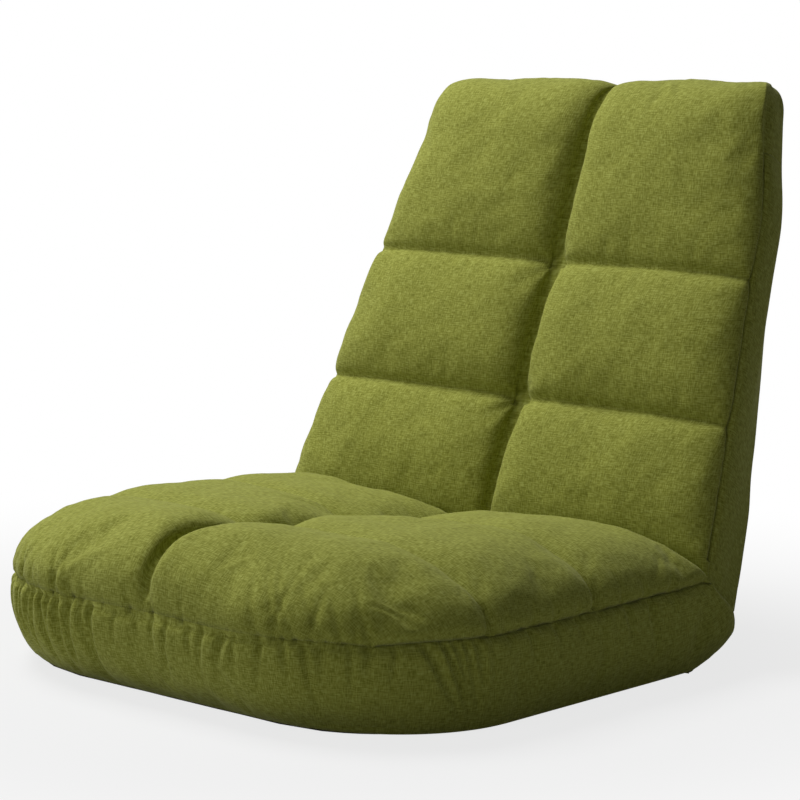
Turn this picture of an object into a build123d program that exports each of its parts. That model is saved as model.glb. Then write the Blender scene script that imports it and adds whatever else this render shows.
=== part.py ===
import math
import os

from build123d import *

os.makedirs("parts", exist_ok=True)

# Low floor chair: padded seat on the floor, padded back on a ratchet hinge at the waist.
# Millimetres. +Z up, the seat's front faces -Y, the floor is Z = 0.

# Hinge line and the angles of the back
HINGE_Y = 250.0
HINGE_Z = 30.0
RECLINE = 22.5
STEP_ANGLE = 7.5
FORWARD_STEPS = 5
RECLINE_STEPS = 9

# Seat cushion
SEAT_WIDTH = 570.0
SEAT_LENGTH = 478.0
SEAT_CORNER = 178.0
REAR_CORNER = 35.0
SEAM_HEIGHT = 84.0
BOXING_BULGE = 5.0
BOXING_TUCK_SIDE = 18.0
BOXING_TUCK_FRONT = 44.0
TUCK_HEIGHT = 21.0
FRONT_EASE = 11.0
BULGE_HEIGHT = 52.0
SEAT_CROWN = 66.0
SEAT_ROW_CROWN = 57.0
SEAT_CENTRE_DIP = 26.0
REAR_SLOPE = 40.0
NOSE_RADIUS = 25.0
NOSE_UNDER = 95.0
SEAM_DROP = 12.5
UNDER_RISE = 45.0
CREASE_REACH = 18.0
CREASE_CROWN = 34.0

# Quilting shared by the seat and the back
FIRST_CHANNEL = 187.0
ROW_PITCH = 141.0
SHOULDER_SHARE = 0.13
SHOULDER_RISE = 0.66
VALLEY_RISE = 0.75

# Back cushion
BACK_LENGTH = 528.0
BACK_FOOT_WIDTH = 560.0
BACK_TOP_WIDTH = 431.0
BACK_CORNER = 34.0
BACK_SEAM = 38.0
BACK_CROWN = 27.0
BACK_ROW_CROWN = 13.0
BACK_CENTRE_DIP = 11.0
BACK_REAR = 15.5
BACK_REAR_CROWN = 6.0
BAND_EASE = 6.0
BAND_TUCK = 22.0
TOP_ROLL = 80.0
ROLL_SHARE = 0.6
LIP_RADIUS = 27.0

# Cover and filling
COVER = 4.0
EDGE = 1.2
UNDERSIDE = 1.8
SEAT_CORE_TOP = 96.0
CORE_SHOULDER = 36.0
CORE_EDGE = 9.0
BACK_CORE_FRONT = 38.6
BACK_CORE_REAR = 12.0
GAP = 0.3
FOLD_GAP = 0.6

# Tube frames
TUBE = 16.0
TUBE_WALL = 1.5
SEAT_FRAME_INSET = 45.0
BACK_FRAME_INSET = 40.0
SEAT_BAR_INSET = 38.0
SEAT_BEND = 85.0
SEAT_TUBE_START = 50.0
SEAT_CROSS = 120.0
BACK_TUBE_START = 36.0
BACK_KNEE = 80.0
BACK_KNEE_BEND = 120.0
BACK_BAR_DROP = 56.0
BACK_BAR_INSET = 35.5
BACK_BEND = 60.0
BACK_CROSS = 118.0
WELD = 0.02

# Webbing and felt
STRAP = 45.0
STRAP_THICK = 1.4
STRAP_PITCH = 66.0
STRAP_COUNT = 4
SEAT_FIRST_STRAP = 175.0
BACK_FIRST_STRAP = 190.0
STRAP_OVERHANG = 4.0
FELT = 3.4
FELT_MARGIN = 6.0
SIDE_ROOM = 0.6

# Ratchet hinges
PLATE_THICK = 2.5
LAYER = 4.0
LAYER_PLAY = 0.1
PLATE_RADIUS = 20.0
GEAR_TIP = 16.0
GEAR_ROOT = 14.2
PIVOT_RADIUS = 5.0
FIT = 0.05
HEAD_RADIUS = 8.0
HEAD_THICK = 2.0
PAWL_SIDE = 180.0
PIN_Y = -19.0
PIN_Z = 19.0
PIN_RADIUS = 2.5
EAR_RADIUS = 6.0
PAWL_RADIUS = 4.6
PAWL_HEEL = 2.0
PAWL_HEEL_Y = -18.7
PAWL_HEEL_Z = 1.0
NOSE_PLAY = 0.25
STEEP_FLANK = 2.9
NOTCH_FLOOR = 0.9
SLOPE_FLANK = -3.3
BLADE_START = 28.0
BLADE_HEIGHT = 12.0
BLADE_LAP = 4.0
SPIGOT = 26.0
TAIL_END = 45.0
TAIL_HEIGHT = 14.0
RIVET_RADIUS = 2.0
RIVET_HEAD = 3.5
RIVET_HEAD_THICK = 1.4
RIVET_PITCH = 7.5
RIVET_EDGE = 4.5
ARM_WIDTH = 12.0
SPRING_THICK = 0.6
SPRING_WIDTH = 3.0
SPRING_FOOT = 5.0
SLOT_HALF = 11.0
SLOT_RADIUS = 66.0
SLOT_FLOOR = 8.5

# Stations along a row of puffs, from channel to channel, and into the edges where a row ends
ROW_STATIONS = 4
EDGE_STATIONS = 6

# Places derived from the values above
COS_R = math.cos(math.radians(RECLINE))
SIN_R = math.sin(math.radians(RECLINE))
SEAT_HALF = SEAT_WIDTH / 2
BACK_TAPER = (BACK_FOOT_WIDTH - BACK_TOP_WIDTH) / 2 / BACK_LENGTH
TUBE_X = min(SEAT_HALF - SEAT_FRAME_INSET, BACK_FOOT_WIDTH / 2 - BACK_FRAME_INSET)
SEAT_BAR = SEAT_LENGTH - SEAT_BAR_INSET
BACK_BAR = BACK_LENGTH - BACK_BAR_DROP
BACK_BAR_X = BACK_TOP_WIDTH / 2 - BACK_BAR_INSET
TUBE_R = TUBE / 2
BORE_R = TUBE_R - TUBE_WALL
SPAN = SEAT_WIDTH * 2
SECOND_CHANNEL = FIRST_CHANNEL + ROW_PITCH
FOLD = FORWARD_STEPS * STEP_ANGLE
SLOPE_NORMAL = 90 - REAR_SLOPE
TAPER_NORMAL = SLOPE_NORMAL - FOLD
TAPER_TILT = RECLINE + TAPER_NORMAL
TAPER_REACH = NOSE_RADIUS + FOLD_GAP
STRAP_SEAT = TUBE_R + WELD
FELT_SEAT = STRAP_SEAT + STRAP_THICK + WELD
POCKET_TOP = FELT_SEAT + FELT + GAP
PACK_HALF = LAYER / 2 + PLATE_THICK
BACK_PLANE = Plane(origin=(0, HINGE_Y, HINGE_Z), x_dir=(1, 0, 0), z_dir=(0, -COS_R, SIN_R))


def seat_station(forward):
    """Upright plane across the seat, a distance forward of the hinge line."""
    return Plane(origin=(0, HINGE_Y - forward, 0), x_dir=(1, 0, 0), z_dir=(0, -1, 0))


def back_station(up):
    """Plane across the back, a distance up from the hinge line."""
    foot = (0, HINGE_Y + up * SIN_R, HINGE_Z + up * COS_R)
    return Plane(origin=foot, x_dir=(1, 0, 0), z_dir=(0, -SIN_R, -COS_R))


def side_plane(x):
    """Upright plane along the chair at one X, measured from the hinge line."""
    return Plane(origin=(x, HINGE_Y, HINGE_Z), x_dir=(0, 1, 0), z_dir=(1, 0, 0))


def back_side_plane(x):
    """The same for the back: across is up the back, the other way is its thickness."""
    return Plane(origin=(x, HINGE_Y, HINGE_Z), x_dir=(0, SIN_R, COS_R), z_dir=(1, 0, 0))


def polar(radius, degrees):
    return (radius * math.cos(math.radians(degrees)), radius * math.sin(math.radians(degrees)))


def slope_height(forward, drop=0.0):
    """Height of the seat's rear slope above the floor."""
    reach = NOSE_RADIUS - drop + forward * math.cos(math.radians(SLOPE_NORMAL))
    return HINGE_Z + reach / math.sin(math.radians(SLOPE_NORMAL))


def taper_front(up, drop=0.0):
    """How far forward the back may reach and still clear the seat when folded."""
    lean = math.radians(TAPER_TILT)
    return (up * math.sin(lean) - TAPER_REACH - drop) / math.cos(lean)


def drawn_in(corner, into):
    """How far a round corner has turned inwards, a distance past its start."""
    return corner - math.sqrt(max(corner**2 - max(into, 0.0) ** 2, 0.0))


def seat_half(forward):
    """Half the seat's width at one station, drawn in round the front and rear corners."""
    front = drawn_in(SEAT_CORNER, forward - (SEAT_LENGTH - SEAT_CORNER))
    return SEAT_HALF - front - drawn_in(REAR_CORNER, REAR_CORNER - NOSE_RADIUS - forward)


def back_half(up):
    """Half the back's width at one station, drawn in round the top corners."""
    top = drawn_in(BACK_CORNER, up - (BACK_LENGTH - BACK_CORNER))
    return BACK_FOOT_WIDTH / 2 - BACK_TAPER * up - top


def seat_seam(forward):
    """Height of the seat's sewn edge, which runs down the rear slope to the hinge."""
    return min(SEAM_HEIGHT, slope_height(forward, SEAM_DROP))


def puffed_row(stations):
    """One row of two puffs, lofted from one sewn channel to the next."""
    with BuildPart() as row:
        for plane, half, corners, crown, channel in stations:
            side = corners[0][1]
            left = [(inset - half, height) for inset, height in corners]
            right = [(half - inset, height) for inset, height in reversed(corners)]
            shoulder = (half * (1 - SHOULDER_SHARE), side + (crown - side) * SHOULDER_RISE)
            valley = (half / 4, channel + (crown - channel) * VALLEY_RISE)
            with BuildSketch(plane):
                with BuildLine():
                    Polyline(*left, *right)
                    ThreePointArc((half, side), shoulder, (half / 2, crown))
                    ThreePointArc((half / 2, crown), valley, (0, channel))
                    ThreePointArc((0, channel), (-valley[0], valley[1]), (-half / 2, crown))
                    ThreePointArc((-half / 2, crown), (-shoulder[0], shoulder[1]), (-half, side))
                make_face()
        loft()
    return row.part


def swell(share, low_start, low_end, high):
    """Crown of a puff along its row, low at the channels and full between them."""
    low = low_start + (low_end - low_start) * share
    return low + (high - low) * math.sin(math.pi * share)


def seat_section(forward, crown, base=HINGE_Z):
    side = SEAM_HEIGHT + EDGE
    channel = side + crown * (1 - SEAT_CENTRE_DIP / SEAT_CROWN)
    corners = [(0.0, side), (0.0, base)]
    return (seat_station(forward), seat_half(forward), corners, side + crown + EDGE, channel)


def back_section(up, crown):
    side = BACK_SEAM + EDGE
    channel = side + crown * (1 - BACK_CENTRE_DIP / BACK_ROW_CROWN)
    corners = [(0.0, side), (BAND_TUCK + COVER, -BACK_REAR)]
    return (back_station(up), back_half(up), corners, side + crown + EDGE, channel)


def seat_outline(side_inset, front_inset):
    """Plan of the seat, drawn in by one amount at the sides and another at the front."""
    half = SEAT_HALF - side_inset
    front = HINGE_Y - SEAT_LENGTH + front_inset
    bend = SEAT_CORNER - side_inset
    rear = HINGE_Y + NOSE_RADIUS
    with BuildSketch(mode=Mode.PRIVATE) as plan:
        with BuildLine():
            FilletPolyline(
                (half, rear),
                (half, front),
                (-half, front),
                (-half, rear),
                close=True,
                radius=(REAR_CORNER, bend, bend, REAR_CORNER),
            )
        make_face()
    return plan.sketch


def back_outline(inset, top):
    """Tapered plan of the back in its own plane, from below the lip to a height."""
    foot = BACK_FOOT_WIDTH / 2 - inset
    head = BACK_FOOT_WIDTH / 2 - BACK_TAPER * top - inset
    with BuildSketch(mode=Mode.PRIVATE) as plan:
        Polygon((-foot, 0), (foot, 0), (head, top), (-head, top), align=None)
    return plan.sketch


def seat_profile(inset, floor):
    """Side view of the seat below its sewn edge, with the rolled nose round the hinge line."""
    nose = NOSE_RADIUS - inset
    front = -(SEAT_LENGTH + SEAT_CORNER)
    level = seat_seam(SEAT_LENGTH) - HINGE_Z
    knee = -(level - slope_height(0, SEAM_DROP) + HINGE_Z) / math.tan(math.radians(REAR_SLOPE))
    with BuildSketch(mode=Mode.PRIVATE) as side:
        with BuildLine():
            Polyline(
                (front, floor - HINGE_Z),
                (-UNDER_RISE, floor - HINGE_Z),
                polar(nose, -NOSE_UNDER),
                (0, 0),
                polar(nose, SLOPE_NORMAL),
                (knee, level),
                (front, level),
                (front, floor - HINGE_Z),
            )
        make_face()
        Circle(nose)
    return side.sketch


def slots(x_side):
    """Room round one hinge for its plates and for the arm as it swings."""
    with BuildPart() as room:
        with BuildSketch(side_plane(x_side * TUBE_X - SLOT_HALF)):
            Circle(SLOT_RADIUS)
            with Locations((0, SLOT_FLOOR - HINGE_Z - SLOT_RADIUS)):
                Rectangle(SLOT_RADIUS * 2, SLOT_RADIUS * 2, mode=Mode.SUBTRACT)
        extrude(amount=SLOT_HALF * 2)
    return room.part


def tapered_end(drop):
    """Everything in front of the back's folded-clearance plane."""
    with BuildPart() as front:
        with BuildSketch(back_side_plane(-SPAN / 2)):
            with BuildLine():
                Polyline(
                    (-SPAN, taper_front(-SPAN, drop)),
                    (SPAN, taper_front(SPAN, drop)),
                    (-SPAN, taper_front(SPAN, drop)),
                    (-SPAN, taper_front(-SPAN, drop)),
                )
            make_face()
        extrude(amount=SPAN)
    return front.part


hinge_slots = [slots(-1), slots(1)]

# Seat cushion as one sewn form: the lower body inside its boxing, and the puffed rows on top.
SHARES = [step / ROW_STATIONS for step in range(ROW_STATIONS + 1)]
EDGE_SHARES = [math.sin(math.pi / 2 * step / EDGE_STATIONS) for step in range(EDGE_STATIONS + 1)]
NOSE_END = -NOSE_RADIUS * math.cos(math.radians(SLOPE_NORMAL)) + EDGE

seat_rows = []
rear_row = []
for share in SHARES:
    rise = swell(share, SEAT_ROW_CROWN, CREASE_CROWN, SEAT_CROWN)
    rear_row.append((FIRST_CHANNEL - (FIRST_CHANNEL - CREASE_REACH) * share, rise))
rear_row.append((NOSE_END, CREASE_CROWN))
seat_rows.append([seat_section(*place) for place in rear_row])
middle_row = []
for share in SHARES:
    rise = swell(share, SEAT_ROW_CROWN, SEAT_ROW_CROWN, SEAT_CROWN)
    middle_row.append((FIRST_CHANNEL + ROW_PITCH * share, rise))
seat_rows.append([seat_section(*place) for place in middle_row])
front_row = []
for share in EDGE_SHARES:
    rise = swell(share, SEAT_ROW_CROWN, 0.0, SEAT_CROWN)
    front_row.append((SECOND_CHANNEL + (SEAT_LENGTH - SECOND_CHANNEL) * share, rise, BULGE_HEIGHT))
seat_rows.append([seat_section(*place) for place in front_row])

with BuildPart() as seat_body:
    for height, inset, front_inset in (
        (0.0, BOXING_TUCK_SIDE, BOXING_TUCK_FRONT),
        (TUCK_HEIGHT, 0.0, FRONT_EASE),
        (BULGE_HEIGHT, -BOXING_BULGE, -BOXING_BULGE),
        (SEAM_HEIGHT, 0.0, 0.0),
    ):
        with BuildSketch(Plane.XY.offset(height)):
            add(seat_outline(inset, front_inset))
    loft()
    with BuildSketch(side_plane(-SPAN / 2)):
        add(seat_profile(0.0, 0.0))
    extrude(amount=SPAN, mode=Mode.INTERSECT)

with BuildPart() as seat_puffs:
    for row in seat_rows:
        add(puffed_row(row))


def seat_core(inset, floor, top):
    """Space inside the cover, or the filling that fits it."""
    with BuildPart() as core:
        for height, step, front_step in (
            (floor, BOXING_TUCK_SIDE, BOXING_TUCK_FRONT),
            (TUCK_HEIGHT, 0.0, FRONT_EASE),
            (BULGE_HEIGHT, -BOXING_BULGE, -BOXING_BULGE),
            (SEAM_HEIGHT, CORE_EDGE - COVER, CORE_EDGE - COVER),
            (top, CORE_SHOULDER, CORE_SHOULDER),
        ):
            with BuildSketch(Plane.XY.offset(height)):
                add(seat_outline(inset + step, inset + front_step))
        loft()
        with BuildSketch(side_plane(-SPAN / 2)):
            front = -(SEAT_LENGTH + SEAT_CORNER)
            with BuildLine():
                Polyline(
                    (front, floor - HINGE_Z),
                    (-UNDER_RISE, floor - HINGE_Z),
                    polar(NOSE_RADIUS - inset, -NOSE_UNDER),
                    (0, 0),
                    polar(NOSE_RADIUS - inset, SLOPE_NORMAL),
                    (-SPAN, slope_height(SPAN, inset + SEAM_DROP) - HINGE_Z),
                    (-SPAN, floor - HINGE_Z),
                    (front, floor - HINGE_Z),
                )
            make_face()
        extrude(amount=SPAN, mode=Mode.INTERSECT)
    return core.part


seat_room = seat_core(COVER, UNDERSIDE + GAP, SEAT_CORE_TOP)
seat_filling = seat_core(COVER + GAP, UNDERSIDE + GAP, SEAT_CORE_TOP - GAP)

# Back cushion as one sewn form: puffed rows in front, tapered body behind the sewn edge.
back_rows = []
LIP_UP = math.sqrt(LIP_RADIUS**2 - BACK_REAR**2)
lower_row = []
for share in SHARES:
    rise = swell(share, BACK_ROW_CROWN, BACK_ROW_CROWN, BACK_CROWN)
    lower_row.append((FIRST_CHANNEL - ROW_PITCH * share, rise))
lower_row.append((LIP_UP, BACK_ROW_CROWN))
back_rows.append([back_section(*place) for place in lower_row])
centre_row = []
for share in SHARES:
    rise = swell(share, BACK_ROW_CROWN, BACK_ROW_CROWN, BACK_CROWN)
    centre_row.append((FIRST_CHANNEL + ROW_PITCH * share, rise))
back_rows.append([back_section(*place) for place in centre_row])
ROLL_START = BACK_LENGTH - TOP_ROLL
upper_row = []
for share in SHARES:
    rise = swell(share * ROLL_SHARE, BACK_ROW_CROWN, BACK_ROW_CROWN, BACK_CROWN)
    upper_row.append((SECOND_CHANNEL + (ROLL_START - SECOND_CHANNEL) * share, rise))
back_rows.append([back_section(*place) for place in upper_row])


def roll_section(share):
    """Section of the roll that the front panel makes over the top edge."""
    up = ROLL_START + TOP_ROLL * share
    fall = math.sqrt(1 - share**2)
    front = BACK_SEAM * fall + EDGE
    corners = [(0.0, front), (BAND_EASE, 0.0), (BAND_TUCK, -BACK_REAR * fall - EDGE)]
    crown = swell(ROLL_SHARE, BACK_ROW_CROWN, BACK_ROW_CROWN, BACK_CROWN)
    channel = front + crown * fall * (1 - BACK_CENTRE_DIP / BACK_ROW_CROWN)
    return (back_station(up), back_half(up), corners, front + crown * fall + EDGE, channel)


top_roll = [roll_section(share) for share in EDGE_SHARES]

with BuildPart() as back_puffs:
    for row in back_rows:
        add(puffed_row(row))
    add(puffed_row(top_roll))

with BuildPart() as back_body:
    for front, inset in ((-BACK_REAR, BAND_TUCK), (0.0, BAND_EASE), (BACK_SEAM, 0.0)):
        with BuildSketch(BACK_PLANE.offset(front)):
            add(back_outline(inset, ROLL_START))
    loft()

with BuildPart() as back_trunk:
    add(back_body.part)
    add(tapered_end(COVER), mode=Mode.SUBTRACT)


def back_core(inset):
    """Space inside the back's cover, or the filling that fits it."""
    with BuildPart() as core:
        for front, step, top in (
            (-BACK_CORE_REAR + inset - COVER, BAND_TUCK, BACK_BAR + TUBE_R + SIDE_ROOM + GAP),
            (0.0, BAND_EASE, BACK_LENGTH - CORE_EDGE * 2),
            (BACK_CORE_FRONT - inset + COVER, CORE_EDGE, BACK_BAR + TUBE_R + SIDE_ROOM + GAP),
        ):
            with BuildSketch(BACK_PLANE.offset(front)):
                add(back_outline(inset + step, top - inset + COVER))
        loft()
        add(tapered_end(inset), mode=Mode.SUBTRACT)
    return core.part


back_room = back_core(COVER)
back_filling = back_core(COVER + GAP)


def half_space(offset, degrees):
    """Block in the side view that ends at a plane, a distance from the hinge line."""
    with BuildPart() as block:
        with BuildSketch(side_plane(-SPAN / 2)):
            with Locations(polar(offset - SPAN / 2, degrees)):
                Rectangle(SPAN, SPAN, rotation=degrees)
        extrude(amount=SPAN)
    return block.part


def lip_room(radius):
    """Cylinder round the hinge line, right across the chair."""
    with BuildPart() as drum:
        with BuildSketch(side_plane(-SPAN / 2)):
            Circle(radius)
        extrude(amount=SPAN)
    return drum.part


def bar_outline(grow, rear):
    """Plan of the seat frame's run, grown all round, from a distance forward of the hinge."""
    half = TUBE_X + grow
    front = HINGE_Y - SEAT_BAR - grow
    bend = SEAT_BEND + grow
    with BuildSketch(mode=Mode.PRIVATE) as plan:
        with BuildLine():
            FilletPolyline(
                (half, HINGE_Y - rear),
                (half, front),
                (-half, front),
                (-half, HINGE_Y - rear),
                radius=bend,
            )
            Line((-half, HINGE_Y - rear), (half, HINGE_Y - rear))
        make_face()
    return plan.sketch


def frame_outline(grow, low):
    """Plan of the back frame's run in the back's plane, grown all round."""
    foot = TUBE_X + grow
    head = BACK_BAR_X + grow
    top = BACK_BAR + grow
    with BuildSketch(mode=Mode.PRIVATE) as plan:
        Polygon(
            (-foot, low),
            (foot, low),
            (foot, BACK_KNEE),
            (head, top),
            (-head, top),
            (-foot, BACK_KNEE),
            align=None,
        )
    return plan.sketch


def seat_tube_x(forward):
    """X of the seat frame's side tube, a distance forward of the hinge line."""
    return TUBE_X - drawn_in(SEAT_BEND, forward - (SEAT_BAR - SEAT_BEND))


def back_tube_x(up):
    """X of the back frame's side tube at a height."""
    share = (up - BACK_KNEE) / (BACK_BAR - BACK_KNEE)
    return TUBE_X + (BACK_BAR_X - TUBE_X) * share


FRAME_FLOOR = HINGE_Z - TUBE_R - WELD
POCKET_REAR = SLOT_RADIUS - EDGE * 2

# Seat cover: quilted panel, boxing with the rolled nose, and the cloth underneath.
with BuildPart() as seat_quilted_panel:
    add(seat_puffs.part)
    add(half_space(NOSE_RADIUS, SLOPE_NORMAL), mode=Mode.INTERSECT)
    add(seat_body.part, mode=Mode.SUBTRACT)
    add(seat_room, mode=Mode.SUBTRACT)
    for room in hinge_slots:
        add(room, mode=Mode.SUBTRACT)

with BuildPart() as seat_boxing:
    add(seat_body.part)
    add(seat_room, mode=Mode.SUBTRACT)
    for room in hinge_slots:
        add(room, mode=Mode.SUBTRACT)
    with BuildSketch(Plane.XY):
        add(seat_outline(BOXING_TUCK_SIDE + COVER, BOXING_TUCK_FRONT + COVER))
        with Locations((0, HINGE_Y - UNDER_RISE)):
            Rectangle(SPAN, SPAN, align=(Align.CENTER, Align.MIN), mode=Mode.SUBTRACT)
    extrude(amount=UNDERSIDE + GAP, mode=Mode.SUBTRACT)

with BuildPart() as seat_underside_cloth:
    with BuildSketch(Plane.XY):
        add(seat_outline(BOXING_TUCK_SIDE + COVER + GAP, BOXING_TUCK_FRONT + COVER + GAP))
        with Locations((0, HINGE_Y - UNDER_RISE - GAP)):
            Rectangle(SPAN, SPAN, align=(Align.CENTER, Align.MIN), mode=Mode.SUBTRACT)
    extrude(amount=UNDERSIDE)

# Seat filling: foam under the frame, and the foam block over it with a pocket for the frame.
with BuildPart() as seat_base_foam:
    add(seat_filling)
    with BuildSketch(Plane.XY.offset(FRAME_FLOOR)):
        Rectangle(SPAN, SPAN)
    extrude(amount=SPAN, mode=Mode.SUBTRACT)
    for room in hinge_slots:
        add(room, mode=Mode.SUBTRACT)

with BuildPart() as seat_foam:
    add(seat_filling)
    with BuildSketch(Plane.XY.offset(FRAME_FLOOR + GAP)):
        Rectangle(SPAN, SPAN)
    extrude(amount=-SPAN, mode=Mode.SUBTRACT)
    with BuildSketch(Plane.XY.offset(FRAME_FLOOR)):
        add(bar_outline(TUBE_R + SIDE_ROOM, POCKET_REAR))
    extrude(amount=HINGE_Z + POCKET_TOP - FRAME_FLOOR, mode=Mode.SUBTRACT)
    for room in hinge_slots:
        add(room, mode=Mode.SUBTRACT)

# Seat frame: bent tube, cross tube, straps over the tubes and a felt sheet on the straps.
with BuildPart() as seat_frame_tube:
    with BuildLine() as seat_run:
        FilletPolyline(
            (TUBE_X, HINGE_Y - SEAT_TUBE_START, HINGE_Z),
            (TUBE_X, HINGE_Y - SEAT_BAR, HINGE_Z),
            (-TUBE_X, HINGE_Y - SEAT_BAR, HINGE_Z),
            (-TUBE_X, HINGE_Y - SEAT_TUBE_START, HINGE_Z),
            radius=SEAT_BEND,
        )
    with BuildSketch(Plane(origin=seat_run.line @ 0, z_dir=seat_run.line % 0)):
        Circle(TUBE_R)
        Circle(BORE_R, mode=Mode.SUBTRACT)
    sweep()

with BuildPart() as seat_cross_tube:
    with BuildSketch(side_plane(-TUBE_X)):
        with Locations((-SEAT_CROSS, 0)):
            Circle(TUBE_R)
            Circle(BORE_R, mode=Mode.SUBTRACT)
    extrude(amount=TUBE_X * 2)
    with BuildSketch(seat_station(SEAT_CROSS - TUBE)):
        with Locations((-TUBE_X, HINGE_Z), (TUBE_X, HINGE_Z)):
            Circle(TUBE_R + WELD)
    extrude(amount=TUBE * 2, mode=Mode.SUBTRACT)

with BuildPart() as seat_webbing:
    for strap in range(STRAP_COUNT):
        forward = SEAT_FIRST_STRAP + strap * STRAP_PITCH
        with BuildSketch(Plane.XY.offset(HINGE_Z + STRAP_SEAT)):
            with Locations((0, HINGE_Y - forward)):
                Rectangle((seat_tube_x(forward + STRAP / 2) + STRAP_OVERHANG) * 2, STRAP)
        extrude(amount=STRAP_THICK)

with BuildPart() as seat_felt:
    with BuildSketch(Plane.XY.offset(HINGE_Z + FELT_SEAT)):
        add(bar_outline(TUBE_R - FELT_MARGIN, POCKET_REAR + FELT_MARGIN))
    extrude(amount=FELT)

# Back cover: quilted panel with the roll over the top, side bands and rear panel.
rear_slab = BACK_CORE_REAR + GAP
with BuildPart() as back_quilted_panel:
    add(back_puffs.part)
    add(tapered_end(0.0), mode=Mode.SUBTRACT)
    add(back_trunk.part, mode=Mode.SUBTRACT)
    add(back_room, mode=Mode.SUBTRACT)
    add(lip_room(LIP_RADIUS), mode=Mode.SUBTRACT)
    for room in hinge_slots:
        add(room, mode=Mode.SUBTRACT)

with BuildPart() as back_side_bands:
    add(back_trunk.part)
    add(back_room, mode=Mode.SUBTRACT)
    with BuildSketch(BACK_PLANE.offset(-BACK_CORE_REAR)):
        Rectangle(SPAN, SPAN)
    extrude(amount=-SPAN, mode=Mode.SUBTRACT)
    add(lip_room(LIP_RADIUS), mode=Mode.SUBTRACT)

with BuildPart() as back_rear_panel:
    add(back_trunk.part)
    with BuildSketch(BACK_PLANE.offset(-rear_slab)):
        Rectangle(SPAN, SPAN)
    extrude(amount=SPAN, mode=Mode.SUBTRACT)
    for up in (0.0, ROLL_START):
        with BuildSketch(back_station(up)):
            half = BACK_FOOT_WIDTH / 2 - BACK_TAPER * up - BAND_TUCK
            with BuildLine():
                Line((-half, -BACK_REAR), (half, -BACK_REAR))
                ThreePointArc((half, -BACK_REAR), (0, -BACK_REAR - BACK_REAR_CROWN), (-half, -BACK_REAR))
            make_face()
    loft()
    add(tapered_end(COVER), mode=Mode.SUBTRACT)
    add(lip_room(LIP_RADIUS), mode=Mode.SUBTRACT)

# Back filling: foam in front of the frame with a skirt round it, felt behind it.
with BuildPart() as back_foam:
    add(back_filling)
    with BuildSketch(BACK_PLANE.offset(POCKET_TOP)):
        add(frame_outline(TUBE_R + SIDE_ROOM, -TUBE))
    extrude(amount=-SPAN, mode=Mode.SUBTRACT)
    add(lip_room(LIP_RADIUS), mode=Mode.SUBTRACT)
    for room in hinge_slots:
        add(room, mode=Mode.SUBTRACT)

with BuildPart() as back_rear_felt:
    with BuildSketch(BACK_PLANE.offset(-TUBE_R - WELD)):
        add(frame_outline(TUBE_R - FELT_MARGIN, BACK_TUBE_START + FELT_MARGIN))
    extrude(amount=-(BACK_CORE_REAR - GAP - TUBE_R))

# Back frame
with BuildPart() as back_frame_tube:
    with BuildLine() as back_run:
        FilletPolyline(
            BACK_PLANE.from_local_coords((TUBE_X, BACK_TUBE_START, 0)),
            BACK_PLANE.from_local_coords((TUBE_X, BACK_KNEE, 0)),
            BACK_PLANE.from_local_coords((BACK_BAR_X, BACK_BAR, 0)),
            BACK_PLANE.from_local_coords((-BACK_BAR_X, BACK_BAR, 0)),
            BACK_PLANE.from_local_coords((-TUBE_X, BACK_KNEE, 0)),
            BACK_PLANE.from_local_coords((-TUBE_X, BACK_TUBE_START, 0)),
            radius=(BACK_KNEE_BEND, BACK_BEND, BACK_BEND, BACK_KNEE_BEND),
        )
    with BuildSketch(Plane(origin=back_run.line @ 0, z_dir=back_run.line % 0)):
        Circle(TUBE_R)
        Circle(BORE_R, mode=Mode.SUBTRACT)
    sweep()

with BuildPart() as back_cross_tube:
    with BuildSketch(back_side_plane(-back_tube_x(BACK_CROSS))):
        with Locations((BACK_CROSS, 0)):
            Circle(TUBE_R)
            Circle(BORE_R, mode=Mode.SUBTRACT)
    extrude(amount=back_tube_x(BACK_CROSS) * 2)
    for side in (-1, 1):
        below = BACK_CROSS - TUBE
        above = BACK_CROSS + TUBE
        with BuildLine() as post:
            Line(
                BACK_PLANE.from_local_coords((side * back_tube_x(below), below, 0)),
                BACK_PLANE.from_local_coords((side * back_tube_x(above), above, 0)),
            )
        with BuildSketch(Plane(origin=post.line @ 0, z_dir=post.line % 0)):
            Circle(TUBE_R + WELD)
        sweep(mode=Mode.SUBTRACT)

with BuildPart() as back_webbing:
    for strap in range(STRAP_COUNT):
        up = BACK_FIRST_STRAP + strap * STRAP_PITCH
        with BuildSketch(BACK_PLANE.offset(STRAP_SEAT)):
            with Locations((0, up)):
                Rectangle((back_tube_x(up + STRAP / 2) + STRAP_OVERHANG) * 2, STRAP)
        extrude(amount=STRAP_THICK)

with BuildPart() as back_felt:
    with BuildSketch(BACK_PLANE.offset(FELT_SEAT)):
        add(frame_outline(TUBE_R - FELT_MARGIN, BACK_CROSS - STRAP))
    extrude(amount=FELT)

# Ratchet hinges, one at each side: two plates on the seat, a toothed gear on the back, a sprung pawl.
RIVET_PLACES = [(RIVET_EDGE - TAIL_END, 0), (RIVET_EDGE - TAIL_END + RIVET_PITCH, 0)]


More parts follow.
